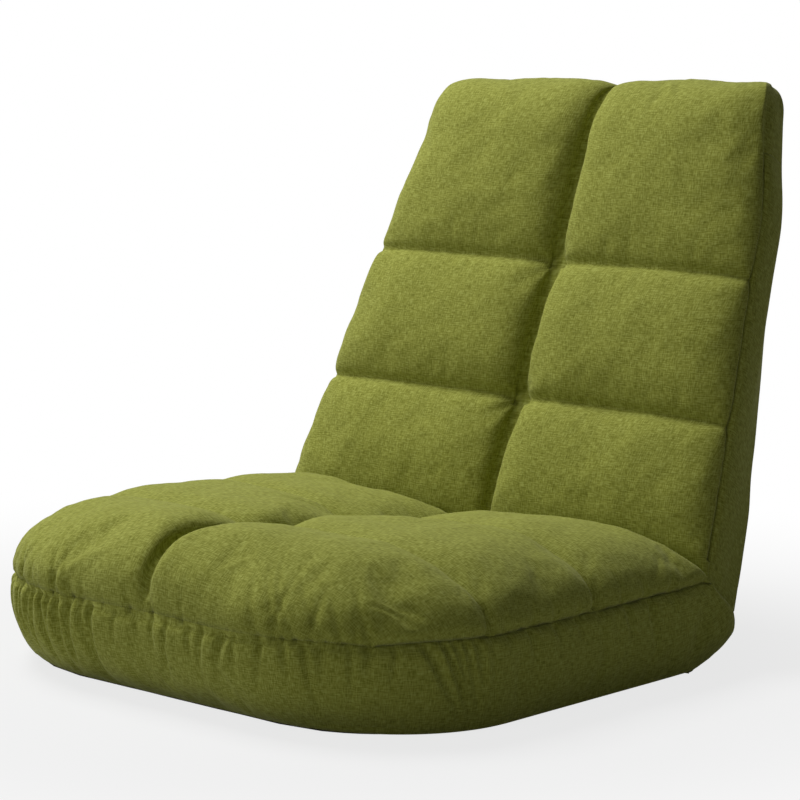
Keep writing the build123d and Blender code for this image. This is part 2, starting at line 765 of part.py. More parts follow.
def plate_face():
    """Hinge plate seen from the side, with its holes."""
    with BuildSketch(mode=Mode.PRIVATE) as face:
        Circle(PLATE_RADIUS)
        with Locations((PIN_Y, PIN_Z)):
            Circle(EAR_RADIUS)
        with Locations((-TAIL_END, 0)):
            Rectangle(TAIL_HEIGHT, TAIL_HEIGHT, align=(Align.MIN, Align.CENTER))
        make_hull()
        Circle(PIVOT_RADIUS + FIT, mode=Mode.SUBTRACT)
        with Locations((PIN_Y, PIN_Z)):
            Circle(PIN_RADIUS + FIT, mode=Mode.SUBTRACT)
        with Locations(*RIVET_PLACES):
            Circle(RIVET_RADIUS + FIT, mode=Mode.SUBTRACT)
    return face.sketch


with BuildPart() as hinge_outer_plates:
    for side in (-1, 1):
        with BuildSketch(side_plane(side * (TUBE_X + LAYER / 2))):
            add(plate_face())
        extrude(amount=side * PLATE_THICK)

with BuildPart() as hinge_inner_plates:
    for side in (-1, 1):
        with BuildSketch(side_plane(side * (TUBE_X - LAYER / 2))):
            add(plate_face())
        extrude(amount=-side * PLATE_THICK)

with BuildPart() as seat_hinge_spigots:
    for side in (-1, 1):
        with BuildSketch(side_plane(side * TUBE_X - LAYER / 2)):
            with Locations((-BLADE_START, 0)):
                Rectangle(SEAT_TUBE_START - BLADE_START, BLADE_HEIGHT, align=(Align.MAX, Align.CENTER))
            with Locations(*RIVET_PLACES):
                Circle(RIVET_RADIUS + FIT, mode=Mode.SUBTRACT)
        extrude(amount=LAYER)
        with BuildSketch(seat_station(SEAT_TUBE_START - BLADE_LAP)):
            with Locations((side * TUBE_X, HINGE_Z)):
                Circle(BORE_R - FIT)
        extrude(amount=BLADE_LAP + SPIGOT)

with BuildPart() as ratchet_gears:
    for side in (-1, 1):
        with BuildSketch(side_plane(side * TUBE_X - LAYER / 2 + LAYER_PLAY)):
            Circle(GEAR_TIP)
            with Locations(Location((0, 0, 0), (0, 0, 90 - RECLINE))):
                Rectangle(BACK_TUBE_START, ARM_WIDTH, align=(Align.MIN, Align.CENTER))
            for step in range(-FORWARD_STEPS, RECLINE_STEPS + 1):
                at = PAWL_SIDE + step * STEP_ANGLE
                Polygon(
                    polar(GEAR_TIP + EDGE, at + STEEP_FLANK),
                    polar(GEAR_ROOT, at + STEEP_FLANK),
                    polar(GEAR_ROOT, at + NOTCH_FLOOR),
                    polar(GEAR_TIP + EDGE, at + SLOPE_FLANK),
                    align=None,
                    mode=Mode.SUBTRACT,
                )
            Circle(PIVOT_RADIUS + FIT, mode=Mode.SUBTRACT)
        extrude(amount=LAYER - LAYER_PLAY * 2)
        with BuildSketch(back_station(BACK_TUBE_START - BLADE_LAP)):
            with Locations((side * TUBE_X, 0)):
                Circle(BORE_R - FIT)
        extrude(amount=-(BLADE_LAP + SPIGOT))

NOSE_TURN = math.degrees(NOSE_PLAY / GEAR_ROOT)
HEEL_REACH = math.hypot(PAWL_HEEL_Y, PAWL_HEEL_Z)
with BuildPart() as pawls:
    for side in (-1, 1):
        with BuildSketch(side_plane(side * TUBE_X - LAYER / 2 + LAYER_PLAY)):
            with Locations((PIN_Y, PIN_Z)):
                Circle(PAWL_RADIUS)
            with Locations((PAWL_HEEL_Y, PAWL_HEEL_Z)):
                Circle(PAWL_HEEL)
            make_hull()
            Polygon(
                polar(GEAR_ROOT + NOSE_PLAY, PAWL_SIDE + STEEP_FLANK - NOSE_TURN),
                polar(HEEL_REACH, PAWL_SIDE + STEEP_FLANK - NOSE_TURN),
                polar(HEEL_REACH, PAWL_SIDE + SLOPE_FLANK + NOSE_TURN),
                polar(GEAR_TIP + NOSE_PLAY, PAWL_SIDE + (NOTCH_FLOOR + SLOPE_FLANK) / 2 + NOSE_TURN),
                polar(GEAR_ROOT + NOSE_PLAY, PAWL_SIDE + NOTCH_FLOOR + NOSE_TURN / 2),
                align=None,
            )
            with Locations((PIN_Y, PIN_Z)):
                Circle(PIN_RADIUS + FIT, mode=Mode.SUBTRACT)
        extrude(amount=LAYER - LAYER_PLAY * 2)


def rivet(x, place, shank, head, head_thick):
    """One headed pin through a hinge's two plates."""
    with BuildPart() as pin:
        with BuildSketch(side_plane(x - PACK_HALF)):
            with Locations(place):
                Circle(shank)
        extrude(amount=PACK_HALF * 2)
        for end in (-1, 1):
            with BuildSketch(side_plane(x + end * PACK_HALF)):
                with Locations(place):
                    Circle(head)
            extrude(amount=end * head_thick)
    return pin.part


with BuildPart() as pivot_rivets:
    for side in (-1, 1):
        add(rivet(side * TUBE_X, (0, 0), PIVOT_RADIUS, HEAD_RADIUS, HEAD_THICK))

with BuildPart() as plate_rivets:
    for side in (-1, 1):
        for place in RIVET_PLACES:
            add(rivet(side * TUBE_X, place, RIVET_RADIUS, RIVET_HEAD, RIVET_HEAD_THICK))

with BuildPart() as pawl_pins:
    for side in (-1, 1):
        add(rivet(side * TUBE_X, (PIN_Y, PIN_Z), PIN_RADIUS, RIVET_HEAD, RIVET_HEAD_THICK))

# Leaf spring from the blade's top edge to the pawl's back
SPRING_LIFT = BLADE_HEIGHT / 2 + GAP + SPRING_THICK / 2
PAWL_BACK = PIN_Y - (PAWL_RADIUS + PAWL_HEEL) / 2 - GAP - SPRING_THICK
PAWL_BACK_Z = (PIN_Z + PAWL_HEEL_Z) / 2
with BuildPart() as pawl_springs:
    for side in (-1, 1):
        with BuildSketch(side_plane(side * TUBE_X - SPRING_WIDTH / 2)):
            with BuildLine():
                Polyline(
                    (-BLADE_START - SPRING_FOOT, SPRING_LIFT),
                    (-BLADE_START, SPRING_LIFT),
                    (PAWL_BACK, PAWL_BACK_Z),
                )
            trace(line_width=SPRING_THICK)
        extrude(amount=SPRING_WIDTH)

# Soft edge of both cushions between the two folding planes, where the covers are sewn into the crease
with BuildPart() as crease_roll:
    add(seat_puffs.part)
    add(back_puffs.part)
    add(back_body.part)
    add(half_space(TAPER_REACH - GAP, TAPER_NORMAL), mode=Mode.INTERSECT)
    add(half_space(NOSE_RADIUS + GAP, SLOPE_NORMAL), mode=Mode.SUBTRACT)
    add(lip_room(NOSE_RADIUS + GAP), mode=Mode.SUBTRACT)
    for room in hinge_slots:
        add(room, mode=Mode.SUBTRACT)

PIECES = {
    "seat_quilted_panel": seat_quilted_panel,
    "seat_boxing": seat_boxing,
    "seat_underside_cloth": seat_underside_cloth,
    "seat_base_foam": seat_base_foam,
    "seat_foam": seat_foam,
    "seat_frame_tube": seat_frame_tube,
    "seat_cross_tube": seat_cross_tube,
    "seat_webbing": seat_webbing,
    "seat_felt": seat_felt,
    "back_quilted_panel": back_quilted_panel,
    "back_side_bands": back_side_bands,
    "back_rear_panel": back_rear_panel,
    "back_foam": back_foam,
    "back_rear_felt": back_rear_felt,
    "back_frame_tube": back_frame_tube,
    "back_cross_tube": back_cross_tube,
    "back_webbing": back_webbing,
    "back_felt": back_felt,
    "hinge_outer_plates": hinge_outer_plates,
    "hinge_inner_plates": hinge_inner_plates,
    "seat_hinge_spigots": seat_hinge_spigots,
    "ratchet_gears": ratchet_gears,
    "pawls": pawls,
    "pawl_springs": pawl_springs,
    "pivot_rivets": pivot_rivets,
    "plate_rivets": plate_rivets,
    "pawl_pins": pawl_pins,
    "crease_roll": crease_roll,
}
for name, piece in PIECES.items():
    piece.part.label = name
    export_step(piece.part, f"parts/{name}.step")
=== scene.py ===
import math

import bpy
import numpy as np
from mathutils import Matrix, Vector, noise


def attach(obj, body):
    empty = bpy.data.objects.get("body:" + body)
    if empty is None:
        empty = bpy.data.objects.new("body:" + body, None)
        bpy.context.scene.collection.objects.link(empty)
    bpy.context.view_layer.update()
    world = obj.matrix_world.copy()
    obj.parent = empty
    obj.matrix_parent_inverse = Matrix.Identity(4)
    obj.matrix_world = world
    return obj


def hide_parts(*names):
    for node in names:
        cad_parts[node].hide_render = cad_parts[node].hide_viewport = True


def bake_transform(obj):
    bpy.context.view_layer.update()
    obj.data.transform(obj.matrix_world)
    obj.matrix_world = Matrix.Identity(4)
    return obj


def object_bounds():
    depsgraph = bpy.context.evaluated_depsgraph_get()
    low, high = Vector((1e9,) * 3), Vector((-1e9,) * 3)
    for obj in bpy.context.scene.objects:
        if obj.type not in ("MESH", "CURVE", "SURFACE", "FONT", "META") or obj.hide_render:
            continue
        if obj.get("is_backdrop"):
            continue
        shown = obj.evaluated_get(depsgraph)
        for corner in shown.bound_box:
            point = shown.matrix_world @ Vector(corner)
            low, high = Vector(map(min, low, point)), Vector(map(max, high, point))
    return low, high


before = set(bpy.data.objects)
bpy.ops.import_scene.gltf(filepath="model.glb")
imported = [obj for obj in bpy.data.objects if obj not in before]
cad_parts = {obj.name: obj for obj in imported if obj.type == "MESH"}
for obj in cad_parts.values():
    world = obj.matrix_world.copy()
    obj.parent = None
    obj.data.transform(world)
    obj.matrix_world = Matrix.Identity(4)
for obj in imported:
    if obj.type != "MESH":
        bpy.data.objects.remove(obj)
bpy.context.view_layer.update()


# Tube frames of the seat and the back with their cross tubes: round steel tube, bent and welded.
# They keep the CAD's shape and get a black powder coat with the coat's fine orange-peel skin.
def new_finish(name, roughness, metallic=0.0):
    """A material with its node tree and its shader."""
    finish = bpy.data.materials.new(name)
    finish.use_nodes = True
    shader = finish.node_tree.nodes["Principled BSDF"]
    shader.inputs["Roughness"].default_value = roughness
    shader.inputs["Metallic"].default_value = metallic
    return finish, finish.node_tree, shader


def grain(tree, per_metre, detail, cloth=None):
    """Noise with so many grains to the metre along each axis of the piece, or of its cloth."""
    if cloth:
        place = tree.nodes.new("ShaderNodeUVMap")
        place.uv_map = cloth
        spot = place.outputs["UV"]
    else:
        spot = tree.nodes.new("ShaderNodeTexCoord").outputs["Object"]
    lay = tree.nodes.new("ShaderNodeMapping")
    lay.inputs["Scale"].default_value = per_metre
    specks = tree.nodes.new("ShaderNodeTexNoise")
    specks.inputs["Scale"].default_value = 1.0
    specks.inputs["Detail"].default_value = detail
    tree.links.new(spot, lay.inputs["Vector"])
    tree.links.new(lay.outputs["Vector"], specks.inputs["Vector"])
    return specks.outputs["Fac"]


def tint(tree, shader, factor, shades):
    """Colours a surface along a factor, with each shade at its place from 0 to 1."""
    palette = tree.nodes.new("ShaderNodeValToRGB")
    marks = palette.color_ramp.elements
    while len(marks) < len(shades):
        marks.new(0.5)
    for mark, (place, shade) in zip(marks, shades):
        mark.position = place
        mark.color = (*shade, 1.0)
    tree.links.new(factor, palette.inputs["Fac"])
    tree.links.new(palette.outputs["Color"], shader.inputs["Base Color"])


def relief(tree, shader, height, depth):
    """Fine relief of a surface, so many metres deep."""
    bump = tree.nodes.new("ShaderNodeBump")
    bump.inputs["Strength"].default_value = 1.0
    bump.inputs["Distance"].default_value = depth
    tree.links.new(height, bump.inputs["Height"])
    tree.links.new(bump.outputs["Normal"], shader.inputs["Normal"])


def dress(finish, *nodes):
    """Puts a finish on pieces that keep the CAD's shape."""
    for node in nodes:
        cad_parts[node].data.materials.clear()
        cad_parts[node].data.materials.append(finish)


powder_coat, tree, shader = new_finish("powder_coat", 0.46)
peel = grain(tree, (900, 900, 900), 2)
tint(tree, shader, peel, [(0.3, (0.012, 0.012, 0.013)), (0.75, (0.03, 0.03, 0.032))])
relief(tree, shader, peel, 0.0002)
dress(powder_coat, "seat_frame_tube", "seat_cross_tube", "back_frame_tube", "back_cross_tube")

# Webbing straps: woven elastic strap, stretched from tube to tube.
# Dark, with the ribs of the strap's weave across its length.
strap_weave, tree, shader = new_finish("strap_weave", 0.85)
ribs = grain(tree, (160, 1400, 1400), 1)
tint(tree, shader, ribs, [(0.35, (0.012, 0.012, 0.014)), (0.7, (0.05, 0.05, 0.055))])
relief(tree, shader, ribs, 0.0004)
dress(strap_weave, "seat_webbing", "back_webbing")

# Felt sheets between the straps and the foam, and behind the back's frame: pressed grey fibre, laid loose.
# Mottled with pale and dark fibres.
pressed_felt, tree, shader = new_finish("pressed_felt", 0.95)
fibres = grain(tree, (420, 700, 700), 6)
tint(tree, shader, fibres, [(0.35, (0.1, 0.1, 0.1)), (0.65, (0.28, 0.28, 0.27))])
relief(tree, shader, fibres, 0.0006)
dress(pressed_felt, "seat_felt", "back_felt", "back_rear_felt")


# Foam blocks under the covers: cut polyurethane foam, glued round the frames.
# Cream, with open cells a millimetre across. The sewn covers squeeze the blocks, so their flanks lie
# further in than those of the uncovered blocks.
def work_on(piece):
    """Leaves only this piece selected and active."""
    bpy.ops.object.select_all(action="DESELECT")
    piece.select_set(True)
    bpy.context.view_layer.objects.active = piece


def places(piece):
    """Where the points of a piece are."""
    found = np.zeros(len(piece.data.vertices) * 3, np.float32)
    piece.data.vertices.foreach_get("co", found)
    return found.reshape(-1, 3).astype(float)


def put(piece, points):
    """Moves the points of a piece."""
    piece.data.vertices.foreach_set("co", np.asarray(points, np.float32).ravel())
    piece.data.update()


seat_half, seat_front, seat_corner = 0.285, -0.228, 0.178


def seat_outward(x, y):
    """Direction out of the seat in plan, and how far a point lies inside the sewn edge."""
    side = np.maximum(np.abs(x) - (seat_half - seat_corner), 0)
    ahead = np.maximum(seat_front + seat_corner - y, 0)
    reach = np.hypot(side, ahead)
    safe = np.maximum(reach, 1e-9)
    return np.sign(x) * side / safe, -ahead / safe, seat_corner - reach


cut_foam, tree, shader = new_finish("cut_foam", 0.9)
cells = grain(tree, (800, 800, 800), 3)
tint(tree, shader, cells, [(0.35, (0.56, 0.48, 0.28)), (0.65, (0.82, 0.75, 0.52))])
relief(tree, shader, cells, 0.0008)
seat_foam_inset = {"seat_base_foam": 0.05, "seat_foam": 0.022}
back_foam_squeeze, back_foam_shift = (0.9, 0.98, 0.98), (0, 0.0037, -0.0015)
for node, body in (("seat_base_foam", "seat"), ("seat_foam", "seat"), ("back_foam", "back")):
    block = bpy.data.objects.new(node + "_block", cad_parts[node].data.copy())
    bpy.context.scene.collection.objects.link(block)
    work_on(block)
    bpy.ops.object.mode_set(mode="EDIT")
    bpy.ops.mesh.select_all(action="SELECT")
    bpy.ops.mesh.remove_doubles(threshold=0.00001)
    bpy.ops.object.mode_set(mode="OBJECT")
    p = places(block)
    if node in seat_foam_inset:
        out_x, out_y, inside = seat_outward(p[:, 0], p[:, 1])
        pull = np.maximum(seat_foam_inset[node] - inside, 0)
        p[:, 0], p[:, 1] = p[:, 0] - out_x * pull, p[:, 1] - out_y * pull
    else:
        heart = p.mean(axis=0)
        p = heart + (p - heart) * back_foam_squeeze + back_foam_shift
    put(block, p)
    block.data.materials.clear()
    block.data.materials.append(cut_foam)
    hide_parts(node)
    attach(block, body)

# Ratchet hinges: stamped steel plates, toothed gears, pawls, leaf springs and rivets, all zinc plated.
# Bright grey with the plating's cloudy spangle and fine rolling lines.
zinc_plate, tree, shader = new_finish("zinc_plate", 0.34, 1.0)
spangle = grain(tree, (120, 60, 260), 4)
tint(tree, shader, spangle, [(0.3, (0.42, 0.42, 0.4)), (0.7, (0.66, 0.66, 0.63))])
relief(tree, shader, grain(tree, (2400, 240, 240), 1), 0.00005)
dress(zinc_plate, "hinge_outer_plates", "hinge_inner_plates", "seat_hinge_spigots", "ratchet_gears", "pawls")
dress(zinc_plate, "pawl_springs", "pivot_rivets", "plate_rivets", "pawl_pins")


# Seat cover: a quilted top panel in two columns of three puffs, sewn to a plain band round the sides.
# Olive linen-look cloth over fibre and foam; the channels are stitched through, and the band is
# gathered at the two front corners. The cover is sewn flat, then its filling blows it up.
hinge_y, hinge_z = 0.250, 0.030
crease_lean, crease_gap = 0.3689, 0.0015
rear_corner = 0.006
seam_height, seat_puff, seat_edge, edge_round = 0.084, 0.066, 0.09, 2.3
edge_middle, edge_gain, edge_spread = 0.062, 0.07, 0.17
centre_dip, dip_gain, dip_start, dip_length = 0.27, 0.43, -0.16, 0.31
centre_valley, valley_gain, valley_start, valley_length = 0.026, 0.09, -0.03, 0.13
corner_fall, fall_start, fall_length, fall_spread = 0.1, -0.05, -0.1, 0.15
rear_swell, swell_length, swell_start, swell_spread = 0.06, 0.08, 0.1, 0.1
seat_rows = (0.063, -0.078)
row_sink, cross_sink, cross_reach, row_valley = 0.05, 0.05, 0.05, 0.024


def ramp(value, start, length):
    """How far a value has come from start over a length, from 0 to 1; a length below 0 runs downwards."""
    return np.clip((value - start) / length, 0, 1)


def crease_at(z):
    """How far back the seat reaches at a height, where it meets the back."""
    return hinge_y - crease_lean * (z - hinge_z) - crease_gap


def seat_width(y):
    """Half the width of the seat along its sewn edge."""
    front = np.clip(seat_front + seat_corner - y, 0, seat_corner)
    rear = np.clip(y - crease_at(seam_height) + rear_corner, 0, rear_corner)
    cut = seat_corner - np.sqrt(seat_corner**2 - front**2)
    return seat_half - cut - (rear_corner - np.sqrt(rear_corner**2 - rear**2))


def seat_top(x, y, fill=1.0):
    """Height of the quilted panel over the floor."""
    across = np.abs(x)
    rounding = edge_middle + edge_gain * ramp(across, 0, edge_spread)
    inside = np.clip(seat_outward(x, y)[2] / rounding, 0, 1)
    edge = np.clip(1 - (1 - inside) ** edge_round, 0, 1) ** (1 / edge_round)
    deep = centre_dip + dip_gain * ramp(y, dip_start, dip_length)
    wide = centre_valley + valley_gain * ramp(y, valley_start, valley_length)
    middle = 1 - deep * (1 - np.sqrt(1 - np.clip(1 - across / wide, 0, 1) ** 2))
    row = np.interp(y, seat_crown[:, 0], seat_crown[:, 1])
    row = row - corner_fall * ramp(y, fall_start, fall_length) * ramp(across, 0, fall_spread)
    row = row + rear_swell * ramp(y, 0, swell_length) * ramp(across, swell_start, swell_spread)
    sunk = row_sink + cross_sink * np.exp(-across / cross_reach)
    for stitched in seat_rows:
        row = row * (1 - sunk * np.exp(-(((y - stitched) / row_valley) ** 2)))
    return seam_height + seat_puff * fill * edge * middle * row


def spaced(line, cells):
    """The same line with its points at even steps."""
    line = np.asarray(line, float)
    run = np.concatenate([[0], np.cumsum(np.linalg.norm(np.diff(line, axis=0), axis=1))])
    steps = np.linspace(0, run[-1], cells + 1)
    return np.stack([np.interp(steps, run, line[:, k]) for k in range(line.shape[1])], axis=1)


def flowing(points):
    """A smooth line through points."""
    p = np.asarray(points, float)
    p = np.vstack([2 * p[0] - p[1], p, 2 * p[-1] - p[-2]])
    t = np.linspace(0, 1, 24, endpoint=False)[:, None]
    runs = []
    for a, b, c, d in zip(p, p[1:], p[2:], p[3:]):
        bend = (a - 2.5 * b + 2 * c - d / 2) * t**2
        swerve = (1.5 * (b - c) + (d - a) / 2) * t**3
        runs.append(b + (c - a) * t / 2 + bend + swerve)
    return np.vstack([*runs, p[-2:-1]])


# How full the puffs are from the front of the seat to its rear: places along Y, and shares of the puff
front_crown = [(-0.228, 1.19), (-0.165, 1.19), (-0.12, 1.12), (-0.078, 1.03), (0, 0.96), (0.063, 0.88)]
rear_crown = [(0.1, 0.83), (0.14, 0.77), (0.18, 0.69), (0.222, 0.58), (0.25, 0.5)]
seat_crown = flowing(front_crown + rear_crown)


def tucked(top, corner, down, foot, handle):
    """A line over the top of a puff that rolls at its corner and runs down the crease to its foot."""
    run = np.concatenate([[0], np.cumsum(np.linalg.norm(np.diff(top, axis=0), axis=1))])
    turn = min(handle, np.linalg.norm(corner - foot))
    leave = np.array([np.interp(run[-1] - turn, run, top[:, k]) for k in (0, 1)])
    t = np.linspace(0, 1, 20)[:, None]
    roll = (1 - t) ** 2 * leave + 2 * t * (1 - t) * corner + t**2 * (corner + down * turn)
    return np.vstack([top[run < run[-1] - turn - 1e-6], roll, foot[None]])


def even_columns(heights, half, cells):
    """Shares of the half width at even steps over the puffs, from one side to the other."""
    x = np.linspace(0, half, 1500)
    share = spaced(np.stack([x, heights(x)], axis=1), cells)[:, 0] / half
    return np.concatenate([-share[:0:-1], share])


def corner_line(angles):
    """The sewn edge round the front corner at +X, from its flank at 0 to its front at a right angle."""
    x = seat_half - seat_corner * (1 - np.cos(angles))
    y = seat_front + seat_corner * (1 - np.sin(angles))
    return np.stack([x, y], axis=1)


# The top panel's grid: the rear row down into the crease, the middle row, and the front row round the corners
seat_fill = 0.95
half_cells, rear_cells, mid_cells, front_cells = 60, 38, 26, 34
rear_limit, rear_roll = 0.245, 0.034
column_middle, corner_split = 0.142, np.radians(45)
columns = even_columns(lambda x: seat_top(x, 0 * x), seat_half, half_cells)
down_crease = np.array([crease_lean, -1.0]) / math.hypot(crease_lean, 1.0)
crease_foot = np.array([crease_at(seam_height), seam_height])

rear_part = []
for share in columns:
    y = np.linspace(seat_rows[0], rear_limit, 500)
    line = np.stack([y, seat_top(share * seat_half + 0 * y, y, seat_fill)], axis=1)
    met = np.argmax(y >= crease_at(line[:, 1]))
    line = spaced(tucked(line[: met + 1], line[met], down_crease, crease_foot, rear_roll), rear_cells)
    rear_part.append(np.stack([share * seat_width(line[:, 0]), line[:, 0], line[:, 1]], axis=1))
rear_part = np.stack(rear_part, axis=1)[::-1]

y = np.linspace(*seat_rows, mid_cells + 1)[1:, None]
x = columns[None] * seat_width(y)
mid_part = np.stack([x, y + 0 * x, seat_top(x, y + 0 * x, seat_fill)], axis=2)

lead = np.linspace(seat_rows[1], seat_front, 800)
lead = spaced(np.stack([lead, seat_top(column_middle + 0 * lead, lead)], axis=1), front_cells)[:, 0]
forward = ((seat_rows[1] - lead) / (seat_rows[1] - seat_front))[:, None, None]
corner_start = math.asin((seat_front + seat_corner - seat_rows[1]) / seat_corner)
flank = corner_line(np.linspace(corner_start, corner_split, front_cells + 1))[:, None]
nose = corner_line(np.linspace(corner_split, np.pi / 2, 60))
nose = spaced(np.vstack([nose, nose[::-1] * (-1, 1)])[::-1], len(columns) - 1)
rear_edge = mid_part[-1, :, :2]
sideways = ((columns + 1) / 2)[None, :, None]
plan = (1 - forward) * rear_edge[None] + forward * nose[None]
plan = plan + (1 - sideways) * (flank * (-1, 1)) + sideways * flank
shared = (1 - forward) * ((1 - sideways) * rear_edge[0] + sideways * rear_edge[-1])
shared = shared + forward * ((1 - sideways) * nose[0] + sideways * nose[-1])
plan = plan - shared
front_part = np.concatenate([plan, seat_top(plan[..., :1], plan[..., 1:], seat_fill)], axis=2)[1:]
seat_panel_grid = np.concatenate([rear_part, mid_part, front_part])


def run_along(grid, axis):
    """Length of cloth from the first line of a grid, along an axis."""
    step = np.linalg.norm(np.diff(grid, axis=axis), axis=2)
    return np.concatenate([np.zeros_like(np.take(step, [0], axis)), np.cumsum(step, axis)], axis)


# The panel's cloth laid flat, with the length that its rounded edge takes
flat_edge = np.linspace(0, seat_edge, 600)
rise = seat_puff * (1 - (1 - flat_edge / seat_edge) ** edge_round) ** (1 / edge_round)
over = np.concatenate([[0], np.cumsum(np.hypot(np.diff(flat_edge), np.diff(rise)))])
spare = (over[-1] - over) - (seat_edge - flat_edge)
x, y = seat_panel_grid[..., 0], seat_panel_grid[..., 1]
out_x, out_y, inside = seat_outward(x, y)
fall = np.interp(np.clip(inside, 0, seat_edge), flat_edge, spare)
seat_panel_lay = np.stack([x + out_x * fall, y + out_y * fall], axis=2)
rear_run = run_along(rear_part[::-1], 0)[::-1]
seat_panel_lay[: len(rear_part), :, 1] = seat_rows[0] + rear_run

# The band's grid: from the sewn edge, round the whole seat, down to the floor
ring = np.concatenate(
    [
        seat_panel_grid[-1, half_cells:],
        seat_panel_grid[-2::-1, -1],
        seat_panel_grid[0, -2::-1],
        seat_panel_grid[1:, 0],
        seat_panel_grid[-1, 1 : half_cells + 1],
    ]
)
ring_run = np.concatenate([[0], np.cumsum(np.linalg.norm(np.diff(ring, axis=0), axis=1))])
past_rear = np.maximum(ring[:, 1] - (crease_at(seam_height) - rear_corner), 0)
past_side = np.sign(ring[:, 0]) * np.maximum(np.abs(ring[:, 0]) - (seat_half - rear_corner), 0)
rear_reach = np.maximum(np.hypot(past_rear, past_side), 1e-9)
out_x, out_y = seat_outward(ring[:, 0], ring[:, 1])[:2]
out_x = np.where(past_rear > 0, past_side / rear_reach, out_x)
out_y = np.where(past_rear > 0, past_rear / rear_reach, out_y)

# Profiles of the band at the sides, the front and the rear: how far in, and how high over the floor
band_cells, heel_start, heel_radius = 21, 0.15, 0.0265
side_line = flowing([(0, seam_height), (-0.001, 0.054), (0.002, 0.021), (0.008, 0.002), (0.026, 0.0014)])
front_line = flowing([(0, seam_height), (0.003, 0.054), (0.017, 0.021), (0.041, 0.002), (0.058, 0.0014)])
heel = [(crease_at(seam_height), seam_height), (0.2425, 0.0715), (0.2565, 0.0595)]
for angle in np.radians((50, 18, -15, -50, -85)):
    heel.append((hinge_y + heel_radius * math.cos(angle), hinge_z + heel_radius * math.sin(angle)))
heel += [(0.222, 0.002), (0.205, 0.0014)]
heel_line = flowing([(crease_at(seam_height) - y, z) for y, z in heel])
profiles = (spaced(line, band_cells)[:, None] for line in (side_line, front_line, heel_line))
side_line, front_line, heel_line = profiles
ahead = np.where(out_y < 0, out_y**2, 0)[None]
swing = ramp(ring[:, 1], heel_start, crease_at(seam_height) - heel_start)[None] ** 1.5
inset = side_line[..., 0] * (1 - ahead) + front_line[..., 0] * ahead
band_x = ring[:, 0] - out_x * inset
band_y = ring[:, 1] - np.minimum(out_y, 0) * inset - swing * heel_line[..., 0]
band_z = side_line[..., 1] * (1 - ahead - swing) + front_line[..., 1] * ahead + heel_line[..., 1] * swing

# Towards the hinge the band narrows, most near the floor
heel_half, heel_tuck, heel_rounding = 0.284, 0.038, 0.01
drawn_in = heel_tuck * ramp(band_y, 0.17, 0.085) ** 1.5 * (1 - np.sqrt(ramp(band_z, 0, 0.03)))
widest = heel_half - drawn_in - heel_rounding * ramp(band_y, 0.243, 0.032) ** 2
band_x = np.where(band_y > heel_start, np.clip(band_x, -widest, widest), band_x)
band_grid = np.stack([band_x, band_y, band_z], axis=2)
band_grid[0] = ring
band_lay = np.stack([ring_run + 0 * band_grid[..., 0], 1.0 - run_along(band_grid, 0)], axis=2)


def sew(name, panels, close=None):
    """One mesh of cut panels, joined where their points meet; faces keep their panel's number and cloth."""
    weld = 2e-5
    points = np.vstack([grid.reshape(-1, 3) for grid, lay in panels])
    lays = np.vstack([lay.reshape(-1, 2) for grid, lay in panels])
    corners, numbers, start = [], [], 0
    for number, (grid, lay) in enumerate(panels):
        index = start + np.arange(grid.shape[0] * grid.shape[1]).reshape(grid.shape[:2])
        quads = np.stack([index[:-1, :-1], index[:-1, 1:], index[1:, 1:], index[1:, :-1]], axis=2)
        corners.append(quads.reshape(-1, 4))
        numbers += [number] * len(corners[-1])
        start += index.size
    keys = np.round(points / weld).astype(np.int64)
    first, joined = np.unique(keys, axis=0, return_index=True, return_inverse=True)[1:]
    joined = joined.ravel()
    faces, spots, kept = [], [], []
    for quad, number in zip(np.vstack(corners), numbers):
        face, spot = [], []
        for corner in quad:
            if joined[corner] not in face:
                face.append(int(joined[corner]))
                spot.append(lays[corner])
        if len(face) > 2:
            faces.append(face)
            spots += spot
            kept.append(number)
    if close is not None:
        point_at = {tuple(key): k for k, key in enumerate(keys[first])}
        rim = [point_at[tuple(key)] for key in np.round(close / weld).astype(np.int64)]
        rim = [point for k, point in enumerate(rim) if point != rim[k - 1]]
        faces.append(rim)
        spots += [(0.0, 0.0)] * len(rim)
        kept.append(-1)
    mesh = bpy.data.meshes.new(name)
    mesh.from_pydata(points[first], [], faces)
    cloth = mesh.uv_layers.new(name="weave")
    cloth.data.foreach_set("uv", np.asarray(spots, np.float32).ravel())
    panel = mesh.attributes.new("panel", "INT", "FACE")
    panel.data.foreach_set("value", np.asarray(kept, np.int32))
    piece = bpy.data.objects.new(name, mesh)
    bpy.context.scene.collection.objects.link(piece)
    work_on(piece)
    bpy.ops.object.mode_set(mode="EDIT")
    bpy.ops.mesh.select_all(action="SELECT")
    bpy.ops.mesh.normals_make_consistent(inside=False)
    bpy.ops.object.mode_set(mode="OBJECT")
    return piece


def facing(piece):
    """Which way the cover faces at each point."""
    found = np.zeros(len(piece.data.vertices) * 3, np.float32)
    piece.data.vertex_normals.foreach_get("vector", found)
    return found.reshape(-1, 3).astype(float)


